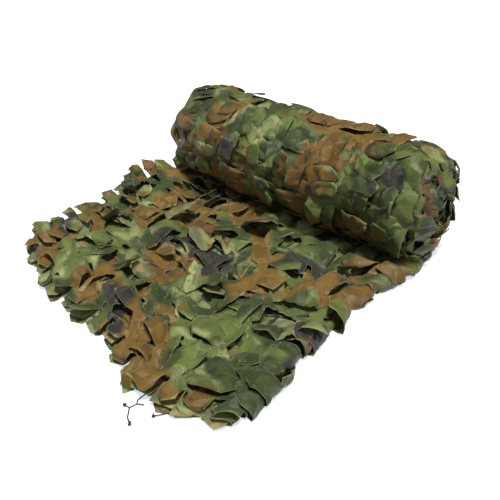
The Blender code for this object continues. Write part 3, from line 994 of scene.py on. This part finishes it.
# %% Plan of the laid-out end
FOLDED_WIDTH = 0.75
LAID_LENGTH = 0.68
ROLL_MIDDLE = (0.03639, 0.31831)  # the middle of the roll's line on the floor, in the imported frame
FOLD_X = FOLDED_WIDTH / 2 - 0.016  # the upper layer ends here, and the fold begins
UPPER_WIDTH = FOLD_X + FOLDED_WIDTH / 2
FOLD_LENGTH = 0.036  # the cloth that goes round the fold
BACK_EDGE = 0.030  # the plan ends this far past the roll's middle line
FRONT_EDGE = (
    # places across the end, and how far the front edge reaches there
    (-0.420, -0.380, -0.330, -0.200, 0.000, 0.160, 0.280, 0.420),
    (-0.570, -0.572, -0.594, -0.640, -0.670, -0.708, -0.706, -0.645),
)
# Shares of the way from the front edge to the back, and how wide the end is there, or how far it bows.
LEFT_WIDENING = ((0.0, 0.15, 0.3, 0.8, 1.0), (1.13, 1.085, 1.055, 1.06, 1.00))
RIGHT_WIDENING = ((0.0, 0.3, 0.5, 0.7, 0.8, 1.0), (1.06, 1.04, 1.02, 1.07, 1.08, 1.00))
SIDE_BOW = ((0.0, 0.3, 0.6, 0.8, 1.0), (-0.016, -0.031, -0.041, -0.027, 0.0))


def laid_plan(x, share):
    """The plan of the laid-out end: x across it, and its share of the way to the roll."""
    front = np.interp(x, *FRONT_EDGE)
    y = front + (BACK_EDGE - front) * share
    way = np.clip(share, 0, 1)
    widened = np.where(x < 0, np.interp(way, *LEFT_WIDENING), np.interp(way, *RIGHT_WIDENING))
    return x * widened + np.interp(way, *SIDE_BOW), y


FRONT_CORNERS = laid_plan(np.array([-FOLDED_WIDTH / 2, FOLD_X]), np.zeros(2))[0]
print("the front edge is", round(float(np.ptp(FRONT_CORNERS)), 3), "m wide")

# %% Heights of the laid-out end
CLOTH_STRAY = 0.012  # how far loose cloth strays sideways in wide waves
SMALL_STRAY = 0.005  # and in small ones
HEAP = (-0.37, -0.13)  # where loose cloth has been pushed up beside the roll's left end
HEAP_REACH = (0.075, 0.10)
HEAP_HEIGHT = 0.030
HEAP_PULL = 0.022  # how far the heap pulls the cloth to the left
UPPER_LOOSE = 0.029  # how high the upper layer lies where it is loose
UPPER_PRESSED = 0.0165  # and where the roll stands on it, which is also its lowest
SOFT_WAVE = 0.008
SHARP_WAVE = 0.0105
LOWER_HEIGHT = 0.0018
LOWER_WAVE = 0.0012


def heap(x, y):
    """How much of the heap there is at a place, from 0 to 1."""
    return np.exp(-((x - HEAP[0]) / HEAP_REACH[0]) ** 2 - ((y - HEAP[1]) / HEAP_REACH[1]) ** 2)


def stray(x, y):
    """How far the loose cloth has strayed at a place of the plan, sideways and lengthways."""
    sideways = CLOTH_STRAY * ripple(3.7, 0.13, y, x) + SMALL_STRAY * ripple(1.9, 0.06, x, y)
    lengthways = CLOTH_STRAY * ripple(7.9, 0.15, x, y) + SMALL_STRAY * ripple(6.1, 0.06, y, x)
    return sideways - HEAP_PULL * heap(x, y), lengthways


def upper_height(x, y, sunk):
    """The height of an upper sheet: loose waves, pressed down where the roll stands on it."""
    pressed = smooth(-0.15, -0.05, y) * (1 - heap(x, y))
    sharp = SHARP_WAVE * facets(5 + round(1000 * sunk), 0.046, x, y)
    loose = UPPER_LOOSE + (SOFT_WAVE * ripple(0.3, 0.13, x, y) + sharp)
    height = loose * (1 - pressed) + UPPER_PRESSED * pressed
    return np.maximum(UPPER_PRESSED, height) + HEAP_HEIGHT * heap(x, y) - sunk


def lower_height(x, y, sunk):
    """The height of a lower sheet, which lies nearly flat."""
    return LOWER_HEIGHT + sunk / 2 + LOWER_WAVE * (1 + ripple(2.3, 0.08, x, y))


HEIGHTS = upper_height(np.linspace(-0.35, 0.35, 200), np.full(200, -0.4), 0.0)
print("the upper layer is", HEIGHTS.min().round(3), "to", HEIGHTS.max().round(3), "m high across its middle")

# %% Laying the cloth out
LAID_GATHER = 0.85  # the loose cloth is pushed together to this share of its flat size
FOLD_WAVE = 0.006
FLOOR_CLEAR = 0.0008
LAYER_CLEAR = 0.0035  # an upper leaf stays this far above the lower layer
OUTSIDE = -0.004  # past this, a leaf of the edge lies on the floor and not on the lower layer
FRINGE_CLEAR = FLOOR_CLEAR + 0.001


def drape_laid(sheet, sunk):
    """Puts a flat sheet on the upper layer, round the fold and on the lower layer."""
    across, along, lift, held_across, held_along = gathered(sheet, LAID_GATHER)

    def folded(across):
        """How far round the fold a point is, from 0 to 1, and its place across the plan."""
        past = np.clip((across - UPPER_WIDTH) / FOLD_LENGTH, 0, 1)
        back = np.maximum(across - UPPER_WIDTH - FOLD_LENGTH, 0)
        return past, np.where(across < UPPER_WIDTH, across, UPPER_WIDTH - back)

    past, from_left = folded(across)
    x, y = laid_plan(from_left - FOLDED_WIDTH / 2, along / LAID_LENGTH)
    _, held_left = folded(held_across)
    held_x, held_y = laid_plan(held_left - FOLDED_WIDTH / 2, held_along / LAID_LENGTH)
    stray_x, stray_y = stray(held_x, held_y)
    top = upper_height(held_x + stray_x, held_y + stray_y, sunk)
    bottom = lower_height(held_x + stray_x, held_y + stray_y, sunk)
    turn = math.pi * past
    radius = (top - bottom) / 2
    waves = FOLD_WAVE * ripple(2.2, 0.05, held_y, held_x) * np.sin(turn)
    x = x + stray_x + (radius + lift) * np.sin(turn) + waves
    z = bottom + radius * (1 + np.cos(turn)) + lift * np.cos(turn)
    lowest = np.where(past < 0.5, bottom + LAYER_CLEAR, FLOOR_CLEAR + sunk / 3)
    outside = (from_left < OUTSIDE) | (along < OUTSIDE)
    lowest = np.where(outside, FRINGE_CLEAR + 0.0016 * past, lowest)
    sheet["draped"] = np.column_stack(
        [x + ROLL_MIDDLE[0], y + stray_y + ROLL_MIDDLE[1], np.maximum(z, lowest)]
    )
    return sheet


# %% [markdown]
# ## How the leaves lie
#
# A shaken-out net has leaves that stand up from it and droop again, leaves that have sunk into it,
# some that rest flat, and about one in nine that is turned right over. One wide range of bends for all
# would be simpler, but then leaves at the fold, beside the roll and under the net would stick out where
# the real ones are held down. So each place has its own stances to pick from.

# %% Stances of the leaves
WAYS_TOTAL = 0.89  # the share of leaves that are loose, sunken or resting
TURNED_SHARE = 0.11  # the share that is turned over


def stance(root, middle, tip, twist, swing, curl):
    """The ranges of a leaf's three bends and of its twist and its swing to a side, in degrees, and how
    often its tip curls."""
    return {"root": root, "middle": middle, "tip": tip, "twist": twist, "swing": swing, "curl": curl}


LOOSE = stance((18, 50), (-66, -20), (-40, 16), 18, 12, 0.14)
SUNKEN = stance((-60, -18), (-6, 42), (-30, 26), 14, 10, 0.10)
RESTING = stance((6, 20), (-28, -2), (-30, 16), 10, 9, 0.10)
TURNED_OVER = stance((142, 168), (-20, 10), (-20, 14), 10, 11, 0.1)
NEAR_THE_ROLL = stance((8, 34), (-48, -10), (-30, 18), 12, 9, 0.1)
TUCKED = stance((4, 20), (-24, 0), (-20, 14), 6, 4, 0.0)
AT_THE_FOLD = stance((8, 34), (-44, -8), (-30, 14), 12, 10, 0.1)
UNDER = stance((-6, 2), (-4, 4), (-4, 4), 0, 0, 0.0)
FRONT_FRINGE = stance((-24, 24), (-30, 20), (-40, 34), 18, 8, 0.25)
RAISED_FRINGE = stance((12, 62), (-40, 10), (-40, 30), 18, 8, 0.2)
print("a loose leaf bends up at its root by", LOOSE["root"], "degrees, and a sunken one by", SUNKEN["root"])

# %% Picking a stance by place
TUCKED_FROM = 0.93  # under the roll, as a share of the way to it
NEAR_FROM = 0.84  # beside the roll
FOLD_BAND = 0.05  # how far the fold holds the leaves beside it


def laid_stance(chance, loose_share, sunken_share):
    """Picks a stance for a leaf of the laid-out end by where it lies."""

    def at(across, along):
        """The stance of a leaf with its middle at this place of the flat cloth."""
        across, along = across * LAID_GATHER, along * LAID_GATHER
        if across > UPPER_WIDTH + FOLD_LENGTH / 2:
            return UNDER
        if along > LAID_LENGTH * TUCKED_FROM:
            return TUCKED
        if along > LAID_LENGTH * NEAR_FROM:
            return NEAR_THE_ROLL
        if across > UPPER_WIDTH - FOLD_BAND:
            return AT_THE_FOLD
        ways = (LOOSE, SUNKEN, RESTING, TURNED_OVER)
        resting_share = WAYS_TOTAL - loose_share - sunken_share
        return chance.choices(ways, (loose_share, sunken_share, resting_share, TURNED_SHARE))[0]

    return at


PICK = laid_stance(random.Random(2), 0.5, 0.3)
print("of 200 leaves in the open,", sum(PICK(0.3, 0.3) is TURNED_OVER for _ in range(200)), "are turned over")

# %% [markdown]
# ## The two sheets of the laid-out end
#
# The sheet is a rectangle with leaves on its free edges: at the front, and on both sides, which come to
# lie on each other at -X. The outer sheet has more loose leaves and the inner one more sunken leaves,
# so the inner one fills the holes of the outer one and seldom sticks out of them. Their prints are
# shifted, because no two lengths of cloth start at the same blotch.

# %% Outer and inner garnish of the laid-out end
SHEET_WIDTH = (2 * UPPER_WIDTH + FOLD_LENGTH) / LAID_GATHER
SHEET_LENGTH = 0.705 / LAID_GATHER  # a little longer than what is laid out, so that the roll covers its end
HIDDEN_FROM = (UPPER_WIDTH + FOLD_LENGTH) / LAID_GATHER  # beyond this lies the lower layer


def laid_fringes(width):
    """The cloth's free edges in the laid-out end: its front edge, and both side edges at -X."""
    back = (LAID_LENGTH - 0.03) / LAID_GATHER
    corner = (UPPER_WIDTH - 0.03) / LAID_GATHER
    return (
        ((0.0, 0.0), (corner, 0.0), (0.0, -1.0), (0.35, 0.70), FRONT_FRINGE),
        ((corner, 0.0), (HIDDEN_FROM, 0.0), (0.0, -1.0), (0.30, 0.45), FRONT_FRINGE),
        ((HIDDEN_FROM, 0.0), (width, 0.0), (0.0, -1.0), (0.35, 0.60), UNDER),
        ((0.0, 0.01), (0.0, back * 0.55), (-1.0, 0.0), (0.35, 0.65), FRONT_FRINGE),
        ((0.0, back * 0.55), (0.0, back), (-1.0, 0.0), (0.45, 0.85), RAISED_FRINGE),
        ((width, 0.01), (width, back), (1.0, 0.0), (0.3, 0.6), UNDER),
    )


def lay_garnish(name, seed, sunk, shares, grain, print_shift):
    """One sheet of cloth, cut, folded over and laid out."""
    size = (SHEET_WIDTH, SHEET_LENGTH)
    stance_at = laid_stance(random.Random(seed + 500), *shares)
    sheet = cut_cloth(seed, size, stance_at, laid_fringes(SHEET_WIDTH), grain, hidden=HIDDEN_FROM)
    sheet = drape_laid(sheet, sunk)
    return cloth_piece(name, [sheet], print_shift)


laid_outer = lay_garnish("garnish_laid_outer", 11, 0.0, (0.44, 0.33), 0.0085, (0.0, 0.0))
laid_inner = lay_garnish("garnish_laid_inner", 29, 0.0165, (0.14, 0.62), 0.0110, (0.045, -0.040))

# %% [markdown]
# ## The roll
#
# The rest of the net is wound up. It could be wound in full, but only its outermost turn shows all
# over, and of the turns inside it only their edges at the two ends. So the outer turn is drawn with all
# its leaves, pressed nearly flat by the winding, as the two sheets that can be seen through each
# other's cuts. Inside it one plain sheet runs the roll's whole length, and narrow bands at the ends
# give the other wound edges.

# %% The roll's form
ROLL_RADIUS = 0.13363
ROLL_AXIS = 0.14753  # the height of its middle
ROLL_FLAT = 0.0179  # the height of the flat spot that it lies on
ROLL_TURN = 2 * math.pi * ROLL_RADIUS
ROLL_BUMP = 0.0045
ROLL_FACET = 0.0040
SHEET_CLEAR = 0.0006


def roll_bumps(x, turned):
    """The unevenness of the roll's surface: soft bumps, and facets between creases."""
    y, z = ROLL_RADIUS * np.sin(turned), ROLL_RADIUS * np.cos(turned)
    return ROLL_BUMP * ripple(0.0, 0.12, x, y, z) + ROLL_FACET * facets(17, 0.052, x, ROLL_RADIUS * turned)


def round_the_roll(x, turned, radius):
    """Points at this radius round the roll's axis, not below the cloth that it lies on."""
    z = np.maximum(ROLL_AXIS - radius * np.cos(turned), ROLL_FLAT + SHEET_CLEAR)
    return np.column_stack([x + ROLL_MIDDLE[0], ROLL_MIDDLE[1] + radius * np.sin(turned), z])


print("one turn of the roll takes", round(ROLL_TURN, 3), "m of cloth")

# %% Winding the outer turn
ROLL_GATHER = 0.84  # the wound cloth is pushed together to this share of its flat size
OUTER_TURN = 1.02  # the radius of the outermost turn's loose end, as a share of the roll's
TURN_DROP = 0.06  # how much less that share is a turn further in
WANDER = 0.07  # how far the cloth wanders round the roll, in radians
END_WAVE = 0.013  # how far the wound edges stand out or in
LEFT_END_OUT = 0.020  # and how much further out they are at the left end
END_TAPER = 0.010  # how much thinner the roll gets at its ends
RIGHT_TAPER = 0.006  # and how much thinner still at the right one
TAPER_WAVE = 0.005
SHEETS_SWAP = 0.004  # the two sheets lie over each other in turns
FULL_ON_TOP = 0.005  # the roll is fuller on top, where nothing presses on it
LEFT_PUFF = 0.014  # and loose cloth puffs up beside its left end


def fullness(held_x, held_share):
    """How much further out the cloth lies on the roll's top, half a turn from the floor."""
    on_top = np.exp(-((held_share - 0.5) / 0.16) ** 2)
    puff = np.exp(-((held_x + 0.32) / 0.05) ** 2 - ((held_share - 0.48) / 0.06) ** 2)
    return FULL_ON_TOP * on_top + LEFT_PUFF * puff


def drape_outer_turn(sheet, inset):
    """Winds a flat sheet round the roll once, from the floor up its back and down its front."""
    across, along, lift, held_across, held_along = gathered(sheet, ROLL_GATHER)
    x = across - FOLDED_WIDTH / 2
    share = along / ROLL_TURN
    wound_in = np.maximum(share, 1 - smooth(0.0, 0.10, share))
    held_x, held_share = held_across - FOLDED_WIDTH / 2, held_along / ROLL_TURN
    wander = WANDER * ripple(4.4, 0.12, held_x, held_share * ROLL_TURN)
    turned = 2 * math.pi * share + wander * (1 - smooth(0.3, 0.37, np.abs(x)))
    at_the_end = smooth(0.29, 0.375, np.abs(held_x))
    wavy = END_WAVE * ripple(5.8, 0.055, held_x * 0.2, held_along)
    x = x + (wavy - LEFT_END_OUT * (held_x < 0)) * at_the_end
    taper = (END_TAPER + RIGHT_TAPER * (held_x > 0)) * smooth(0.31, 0.385, np.abs(x))
    taper = taper + TAPER_WAVE * at_the_end * ripple(1.4, 0.05, held_along, held_x)
    radius = ROLL_RADIUS * (OUTER_TURN - TURN_DROP * wound_in) - taper
    swapped = SHEETS_SWAP * np.sign(inset) * ripple(3.3, 0.10, held_x, held_along)
    radius = radius + lift - abs(inset) - swapped + fullness(held_x, held_share)
    radius = radius + roll_bumps(held_x, 2 * math.pi * held_share)
    sheet["draped"] = round_the_roll(x, turned, radius)
    sheet["triangles"] = sheet["triangles"][:, ::-1]
    return sheet


OUTER_WIDTH = FOLDED_WIDTH / ROLL_GATHER
OUTER_LENGTH = 1.07 * ROLL_TURN / ROLL_GATHER  # a turn and a little, so that its end laps over its start
print("the outer turn's sheets are", round(OUTER_WIDTH, 3), "x", round(OUTER_LENGTH, 3), "m while flat")

# %% The roll's outer turn
PRESSED = stance((6, 19), (-28, -7), (-14, 10), 5, 12, 0.0)
LIFTED = stance((14, 34), (-42, -12), (-24, 14), 10, 12, 0.1)
OVER_THE_END = stance((-104, -46), (-40, 12), (-40, 18), 14, 7, 0.2)
FRONT_FROM = 0.62  # the share of a turn where the roll's front begins


def roll_stance(chance, lifted_share):
    """Picks a stance for a leaf of the roll: all are pressed flat, but for some on its front."""

    def at(across, along):
        """The stance of a leaf with its middle at this place of the flat cloth."""
        on_the_front = along * ROLL_GATHER > FRONT_FROM * ROLL_TURN
        return LIFTED if on_the_front and chance.random() < lifted_share else PRESSED

    return at


def wind_outer_turn(name, seed, inset, lifted_share, grain, print_shift):
    """One sheet of the roll's outer turn, with its leaves and the fringes at its ends."""
    size = (OUTER_WIDTH, OUTER_LENGTH)
    fringes = (
        ((0.0, 0.0), (0.0, OUTER_LENGTH), (-1.0, 0.0), (0.3, 0.7), OVER_THE_END),
        ((OUTER_WIDTH, 0.0), (OUTER_WIDTH, OUTER_LENGTH), (1.0, 0.0), (0.3, 0.7), OVER_THE_END),
    )
    stance_at = roll_stance(random.Random(seed + 500), lifted_share)
    sheet = drape_outer_turn(cut_cloth(seed, size, stance_at, fringes, grain), inset)
    return cloth_piece(name, [sheet], print_shift)


roll_outer = wind_outer_turn("garnish_roll_outer", 41, 0.002, 0.42, 0.0085, (0.10, 0.70))
roll_second = wind_outer_turn("garnish_roll_second", 53, -0.0045, 0.30, 0.0100, (0.135, 0.655))

# %% [markdown]
# ## The inner turns
#
# The inner turns lie on a spiral that closes in by the same step each turn, as on any roll of cloth.
# Their surfaces are never seen, so they have no leaves but the ones on the wound edges, which lean
# over the roll's ends. Each end has three such bands, one inside the other, because every turn of the
# folded net brings several sheets of cloth.

# %% Winding the inner turns
TURN_PITCH = 0.0425  # from one turn to the next
INNERMOST = 0.022
INNER_WAVE = 0.0028
END_SHIFT = 0.010  # how far the wound edges stand out or in


def wound_length(outermost):
    """The length of cloth in a spiral from this radius down to the innermost."""
    return (outermost ** 2 - INNERMOST ** 2) * math.pi / TURN_PITCH


def drape_inner_turns(sheet, outermost, start):
    """Winds a sheet in a spiral that starts at this radius and closes in by the pitch each turn."""
    across, along = sheet["points"][:, :2].T
    lift = sheet["points"][:, 2]
    x = across - FOLDED_WIDTH / 2
    radius = np.sqrt(np.maximum(outermost ** 2 - along * TURN_PITCH / math.pi, 0.0001))
    turned = start + 2 * math.pi * (outermost - radius) / TURN_PITCH
    y, z = radius * np.sin(turned), radius * np.cos(turned)
    x = x + END_SHIFT * ripple(6.6, 0.07, y, z) * smooth(0.28, 0.36, np.abs(x))
    radius = radius + lift + INNER_WAVE * ripple(1.7, 0.05, x, y, z)
    sheet["draped"] = round_the_roll(x, turned, radius)
    sheet["triangles"] = sheet["triangles"][:, ::-1]
    return sheet


def wind_inner(seed, outermost, start, left, width, grain):
    """A band of the inner turns, from left to left + width across the roll, with its fringes."""
    length = wound_length(outermost)
    fringes = []
    if left == 0.0:
        fringes.append(((0.0, 0.0), (0.0, length), (-1.0, 0.0), (0.25, 0.6), OVER_THE_END))
    if left + width == FOLDED_WIDTH:
        fringes.append(((width, 0.0), (width, length), (1.0, 0.0), (0.25, 0.6), OVER_THE_END))
    sheet = cut_cloth(seed, (width, length), None, fringes, grain)
    sheet["points"][:, 0] += left
    sheet["flat"][:, 0] += left
    return drape_inner_turns(sheet, outermost, start)


CORE_RADIUS = ROLL_RADIUS - 0.021
core_sheet = wind_inner(61, CORE_RADIUS, 0.9, 0.0, FOLDED_WIDTH, 0.015)
roll_core = cloth_piece("garnish_roll_core", [core_sheet], (2.1, 0.4))

# %% The wound edges at the roll's ends
END_BAND = 0.085  # how far in from the end the bands reach
BAND_RADII = (ROLL_RADIUS - 0.0135, ROLL_RADIUS - 0.030, ROLL_RADIUS - 0.0385)


def wound_edge(name, seed, left, print_shift):
    """The wound edges at one end of the roll, one band for each sheet of cloth in a turn."""
    sheets = []
    for band, outermost in enumerate(BAND_RADII):
        start = 0.4 + 1.7 * band  # the bands start in different places round the roll, in radians
        sheets.append(wind_inner(seed + band, outermost, start, left, END_BAND, 0.0115))
    return cloth_piece(name, sheets, print_shift)


edge_left = wound_edge("garnish_wound_edge_left", 71, 0.0, (3.3, 0.2))
edge_right = wound_edge("garnish_wound_edge_right", 83, FOLDED_WIDTH - END_BAND, (4.7, 0.9))

# %% [markdown]
# ## The ground net
#
# The cloth hangs on a square-mesh net of thin twisted cord, knotted at every crossing, 45 mm apart.
# It shows as dark lines through the gaps, and its cut ends stick out at the front. A net is one shape
# repeated along lines, which is what Geometry Nodes are for: the tree turns each edge of a plain line
# drawing into cord and puts a small knot of two loops on every crossing. The cord is twisted nylon,
# dyed dark green: its two strands go round each other, and each is a slanting ridge, with painted
# shade darkening the groove beside it.

# %% Cord material
RIDGE_PITCH = 0.005  # along the cord, from one strand's ridge to the other's
STRANDS = 2.0


def cord_material():
    """Twisted nylon cord, dyed dark green: matt, with its strands in a slant round it, and painted shade in
    the grooves between them.
    """
    made, tree, shader = new_material("twisted_nylon_cord", {"Roughness": 0.62})
    along = add_node(tree, "ShaderNodeAttribute", {"attribute_name": "cord_along"})
    around = add_node(tree, "ShaderNodeAttribute", {"attribute_name": "cord_around"})
    lay = add_node(
        tree, "ShaderNodeMath", {"operation": "MULTIPLY", 1: 1 / RIDGE_PITCH}, {0: along.outputs["Fac"]}
    )
    twist = add_node(
        tree,
        "ShaderNodeMath",
        {"operation": "MULTIPLY_ADD", 1: STRANDS},
        {0: around.outputs["Fac"], 2: lay.outputs[0]},
    )
    phase = add_node(tree, "ShaderNodeMath", {"operation": "MULTIPLY", 1: 2 * math.pi}, {0: twist.outputs[0]})
    strands = add_node(tree, "ShaderNodeMath", {"operation": "SINE"}, {0: phase.outputs[0]})
    groove = add_node(
        tree, "ShaderNodeMapRange", {"From Min": -1.0, "From Max": 1.0}, {"Value": strands.outputs[0]}
    )
    # painted shade: the grooves are darker than the ridges, from the same pattern as the bump
    colour = add_node(
        tree,
        "ShaderNodeMix",
        {"data_type": "RGBA", 6: linear("262e26"), 7: linear("4c594b")},
        {0: groove.outputs[0]},
    )
    bump = add_node(
        tree, "ShaderNodeBump", {"Strength": 0.6, "Distance": 0.0006}, {"Height": groove.outputs[0]}
    )
    tree.links.new(colour.outputs[2], shader.inputs["Base Color"])
    tree.links.new(bump.outputs[0], shader.inputs["Normal"])
    return made


TWISTED_CORD = cord_material()
print("cord material:", TWISTED_CORD.name)

# %% Ground net tree
CORD_SIDES = 6
LOOP_SIDES = 8
KNOT_TILT = (1.15, 0.3, 0.8)  # how the second loop of a knot is turned


def ground_net_tree():
    """A Geometry Nodes tree: lines become cord, and marked points get a knot."""
    tree = bpy.data.node_groups.new("knotted_ground_net", "GeometryNodeTree")
    sockets = (
        ("Lines", "INPUT", "NodeSocketGeometry"),
        ("Cord radius", "INPUT", "NodeSocketFloat"),
        ("Knot loop", "INPUT", "NodeSocketFloat"),
        ("Seed", "INPUT", "NodeSocketInt"),
        ("Cord", "INPUT", "NodeSocketMaterial"),
        ("Net", "OUTPUT", "NodeSocketGeometry"),
    )
    for name, in_out, kind in sockets:
        tree.interface.new_socket(name=name, in_out=in_out, socket_type=kind)
    given = add_node(tree, "NodeGroupInput").outputs
    lines = add_node(tree, "GeometryNodeMeshToCurve", links={"Mesh": given["Lines"]})
    way = add_node(tree, "GeometryNodeSplineParameter")
    marked = add_node(
        tree,
        "GeometryNodeStoreNamedAttribute",
        {"data_type": "FLOAT", "domain": "POINT", "Name": "cord_along"},
        {"Geometry": lines.outputs[0], "Value": way.outputs["Length"]},
    )
    ring = add_node(
        tree, "GeometryNodeCurvePrimitiveCircle", {"Resolution": CORD_SIDES}, {"Radius": given["Cord radius"]}
    )
    ring_marked = add_node(
        tree,
        "GeometryNodeStoreNamedAttribute",
        {"data_type": "FLOAT", "domain": "POINT", "Name": "cord_around"},
        {"Geometry": ring.outputs[0], "Value": way.outputs["Factor"]},
    )
    cord = add_node(
        tree,
        "GeometryNodeCurveToMesh",
        {"Fill Caps": True},
        {"Curve": marked.outputs[0], "Profile Curve": ring_marked.outputs[0]},
    )
    loop = add_node(
        tree, "GeometryNodeCurvePrimitiveCircle", {"Resolution": LOOP_SIDES}, {"Radius": given["Knot loop"]}
    )
    loop_cord = add_node(
        tree,
        "GeometryNodeCurveToMesh",
        links={"Curve": loop.outputs[0], "Profile Curve": ring_marked.outputs[0]},
    )
    crossed = add_node(
        tree,
        "GeometryNodeTransform",
        {"Rotation": KNOT_TILT, "Scale": (1.0, 0.8, 1.0)},
        {"Geometry": loop_cord.outputs[0]},
    )
    knot = add_node(tree, "GeometryNodeJoinGeometry")
    tree.links.new(loop_cord.outputs[0], knot.inputs[0])
    tree.links.new(crossed.outputs[0], knot.inputs[0])
    is_knot = add_node(
        tree, "GeometryNodeInputNamedAttribute", {"data_type": "FLOAT", "Name": "knot"}
    )
    turn = add_node(
        tree,
        "FunctionNodeRandomValue",
        {"data_type": "FLOAT_VECTOR", 0: (-0.5, -0.5, 0.0), 1: (0.5, 0.5, 2 * math.pi)},
        {"Seed": given["Seed"]},
    )
    knots = add_node(
        tree,
        "GeometryNodeInstanceOnPoints",
        links={
            "Points": given["Lines"],
            "Selection": is_knot.outputs[0],
            "Instance": knot.outputs[0],
            "Rotation": turn.outputs[0],
        },
    )
    together = add_node(tree, "GeometryNodeJoinGeometry")
    tree.links.new(cord.outputs[0], together.inputs[0])
    tree.links.new(knots.outputs[0], together.inputs[0])
    real = add_node(tree, "GeometryNodeRealizeInstances", links={0: together.outputs[0]})
    finish = add_node(
        tree, "GeometryNodeSetMaterial", links={"Geometry": real.outputs[0], "Material": given["Cord"]}
    )
    add_node(tree, "NodeGroupOutput", links={0: finish.outputs[0]})
    return tree


NET_TREE = ground_net_tree()
print("the net's tree has", len(NET_TREE.nodes), "nodes")

# %% From nodes to a piece


def made_by_nodes(name, lines, tree, values):
    """Runs a tree on a line drawing and keeps the result as a plain mesh."""
    source = add_object(name + "_lines", lines)
    modifier = source.modifiers.new("nodes", "NODES")
    modifier.node_group = tree
    for item in tree.interface.items_tree:
        if item.in_out == "INPUT" and item.name in values:
            modifier[item.identifier] = values[item.name]
    graph = bpy.context.evaluated_depsgraph_get()
    mesh = bpy.data.meshes.new_from_object(source.evaluated_get(graph))
    source.modifiers.remove(modifier)
    bpy.data.objects.remove(source)
    mesh.name = name
    mesh.shade_smooth()
    return add_object(name, mesh)


# %% [markdown]
# ## The lines of the net
#
# The net hangs between the cloths, so its lines are drawn on the same plan and in the middle of the two
# layers. The loose ends at the front left corner are too irregular for a rule, so each is a list of
# places on the floor, with a knot wherever the real one has a blob.

# %% Loose ends of the net
LOOSE_ENDS = (
    # the cut ends at the front: places on the floor, and at which of them there is a knot
    (((0.2300, -0.4250), (0.2303, -0.4450), (0.2366, -0.4517), (0.2331, -0.4657), (0.2214, -0.4671)), (4,)),
    (((0.2366, -0.4517), (0.2430, -0.4470), (0.2483, -0.4446)), ()),
    (((0.2331, -0.4657), (0.2400, -0.4735), (0.2479, -0.4823), (0.2629, -0.4901)), (3,)),
    (((0.2479, -0.4823), (0.2560, -0.4870), (0.2610, -0.4850)), ()),
    (((0.3150, -0.4010), (0.3003, -0.4204), (0.2890, -0.4390), (0.2806, -0.4509)), (3,)),
    (((0.2806, -0.4509), (0.2755, -0.4469)), ()),
)
LONGEST = max(sum(math.dist(a, b) for a, b in zip(places, places[1:])) for places, _ in LOOSE_ENDS)
print("the longest loose end is", round(1000 * LONGEST), "mm long")

# %% Ground net lines
NET_MESH = 0.045
NET_REACH = 0.026  # how far the net reaches past the cloth's front edge
NET_INSET = 0.02  # how far its first cord is from the side edge
NET_SUNK = 0.014  # it hangs between sheets that are sunk this far
NET_WAVE = 0.002
STEPS_PER_MESH = 4
LOOSE_HEIGHT = 0.0032  # the height of the loose ends' middle line


def net_lines():
    """A line drawing of the net: every cord, with its crossings marked as knots."""
    columns = int((UPPER_WIDTH - NET_INSET) / NET_MESH)
    rows = int((LAID_LENGTH - 0.03) / NET_MESH)
    verts, edges, knots = [], [], []

    def cord(places, marks):
        """Adds a cord through these places; marks are 1 where it has a knot."""
        first = len(verts)
        verts.extend(places)
        knots.extend(marks)
        edges.extend((i, i + 1) for i in range(first, len(verts) - 1))

    def place(column, row):
        """Where a crossing of the net lies in the flat cloth."""
        across = NET_INSET + column * NET_MESH
        along = -NET_REACH * 0.6 + row * NET_MESH
        return across, along

    marks, runs = [], []
    for column in range(columns + 1):
        runs.append([place(column, step / STEPS_PER_MESH) for step in range(rows * STEPS_PER_MESH + 1)])
        marks.append([float(step % STEPS_PER_MESH == 0) for step in range(rows * STEPS_PER_MESH + 1)])
    for row in range(1, rows + 1):
        runs.append([place(step / STEPS_PER_MESH, row) for step in range(columns * STEPS_PER_MESH + 1)])
        marks.append([0.0] * (columns * STEPS_PER_MESH + 1))
    for run, own in zip(runs, marks):
        flat = np.array(run)
        x, y = laid_plan(flat[:, 0] - FOLDED_WIDTH / 2, flat[:, 1] / LAID_LENGTH)
        stray_x, stray_y = stray(x, y)
        x, y = x + stray_x, y + stray_y
        z = (upper_height(x, y, NET_SUNK) + lower_height(x, y, NET_SUNK)) / 2
        z = z + NET_WAVE * ripple(8.8, 0.03, x, y)
        points = np.column_stack([x + ROLL_MIDDLE[0], y + ROLL_MIDDLE[1], z])
        cord([tuple(p) for p in points], own)
    for places, tied in LOOSE_ENDS:
        cord([(x, y, LOOSE_HEIGHT) for x, y in places], [float(i in tied) for i in range(len(places))])
    mesh = bpy.data.meshes.new("ground_net_lines")
    mesh.from_pydata(verts, edges, [])
    knot = mesh.attributes.new("knot", "FLOAT", "POINT")
    knot.data.foreach_set("value", knots)
    print("ground net:", sum(knots), "knots,", len(edges), "short lengths of cord")
    return mesh


# %% The ground net
CORD_RADIUS = 0.00125
KNOT_LOOP = 0.0026
ground_net = made_by_nodes(
    "ground_net",
    net_lines(),
    NET_TREE,
    {"Cord radius": CORD_RADIUS, "Knot loop": KNOT_LOOP, "Seed": 5, "Cord": TWISTED_CORD},
)
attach(ground_net, "root")
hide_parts("cord_net")
print("ground net has", len(ground_net.data.polygons), "faces")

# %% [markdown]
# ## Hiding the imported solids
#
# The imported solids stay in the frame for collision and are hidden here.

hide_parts("garnish_laid_end")
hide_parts("garnish_roll")
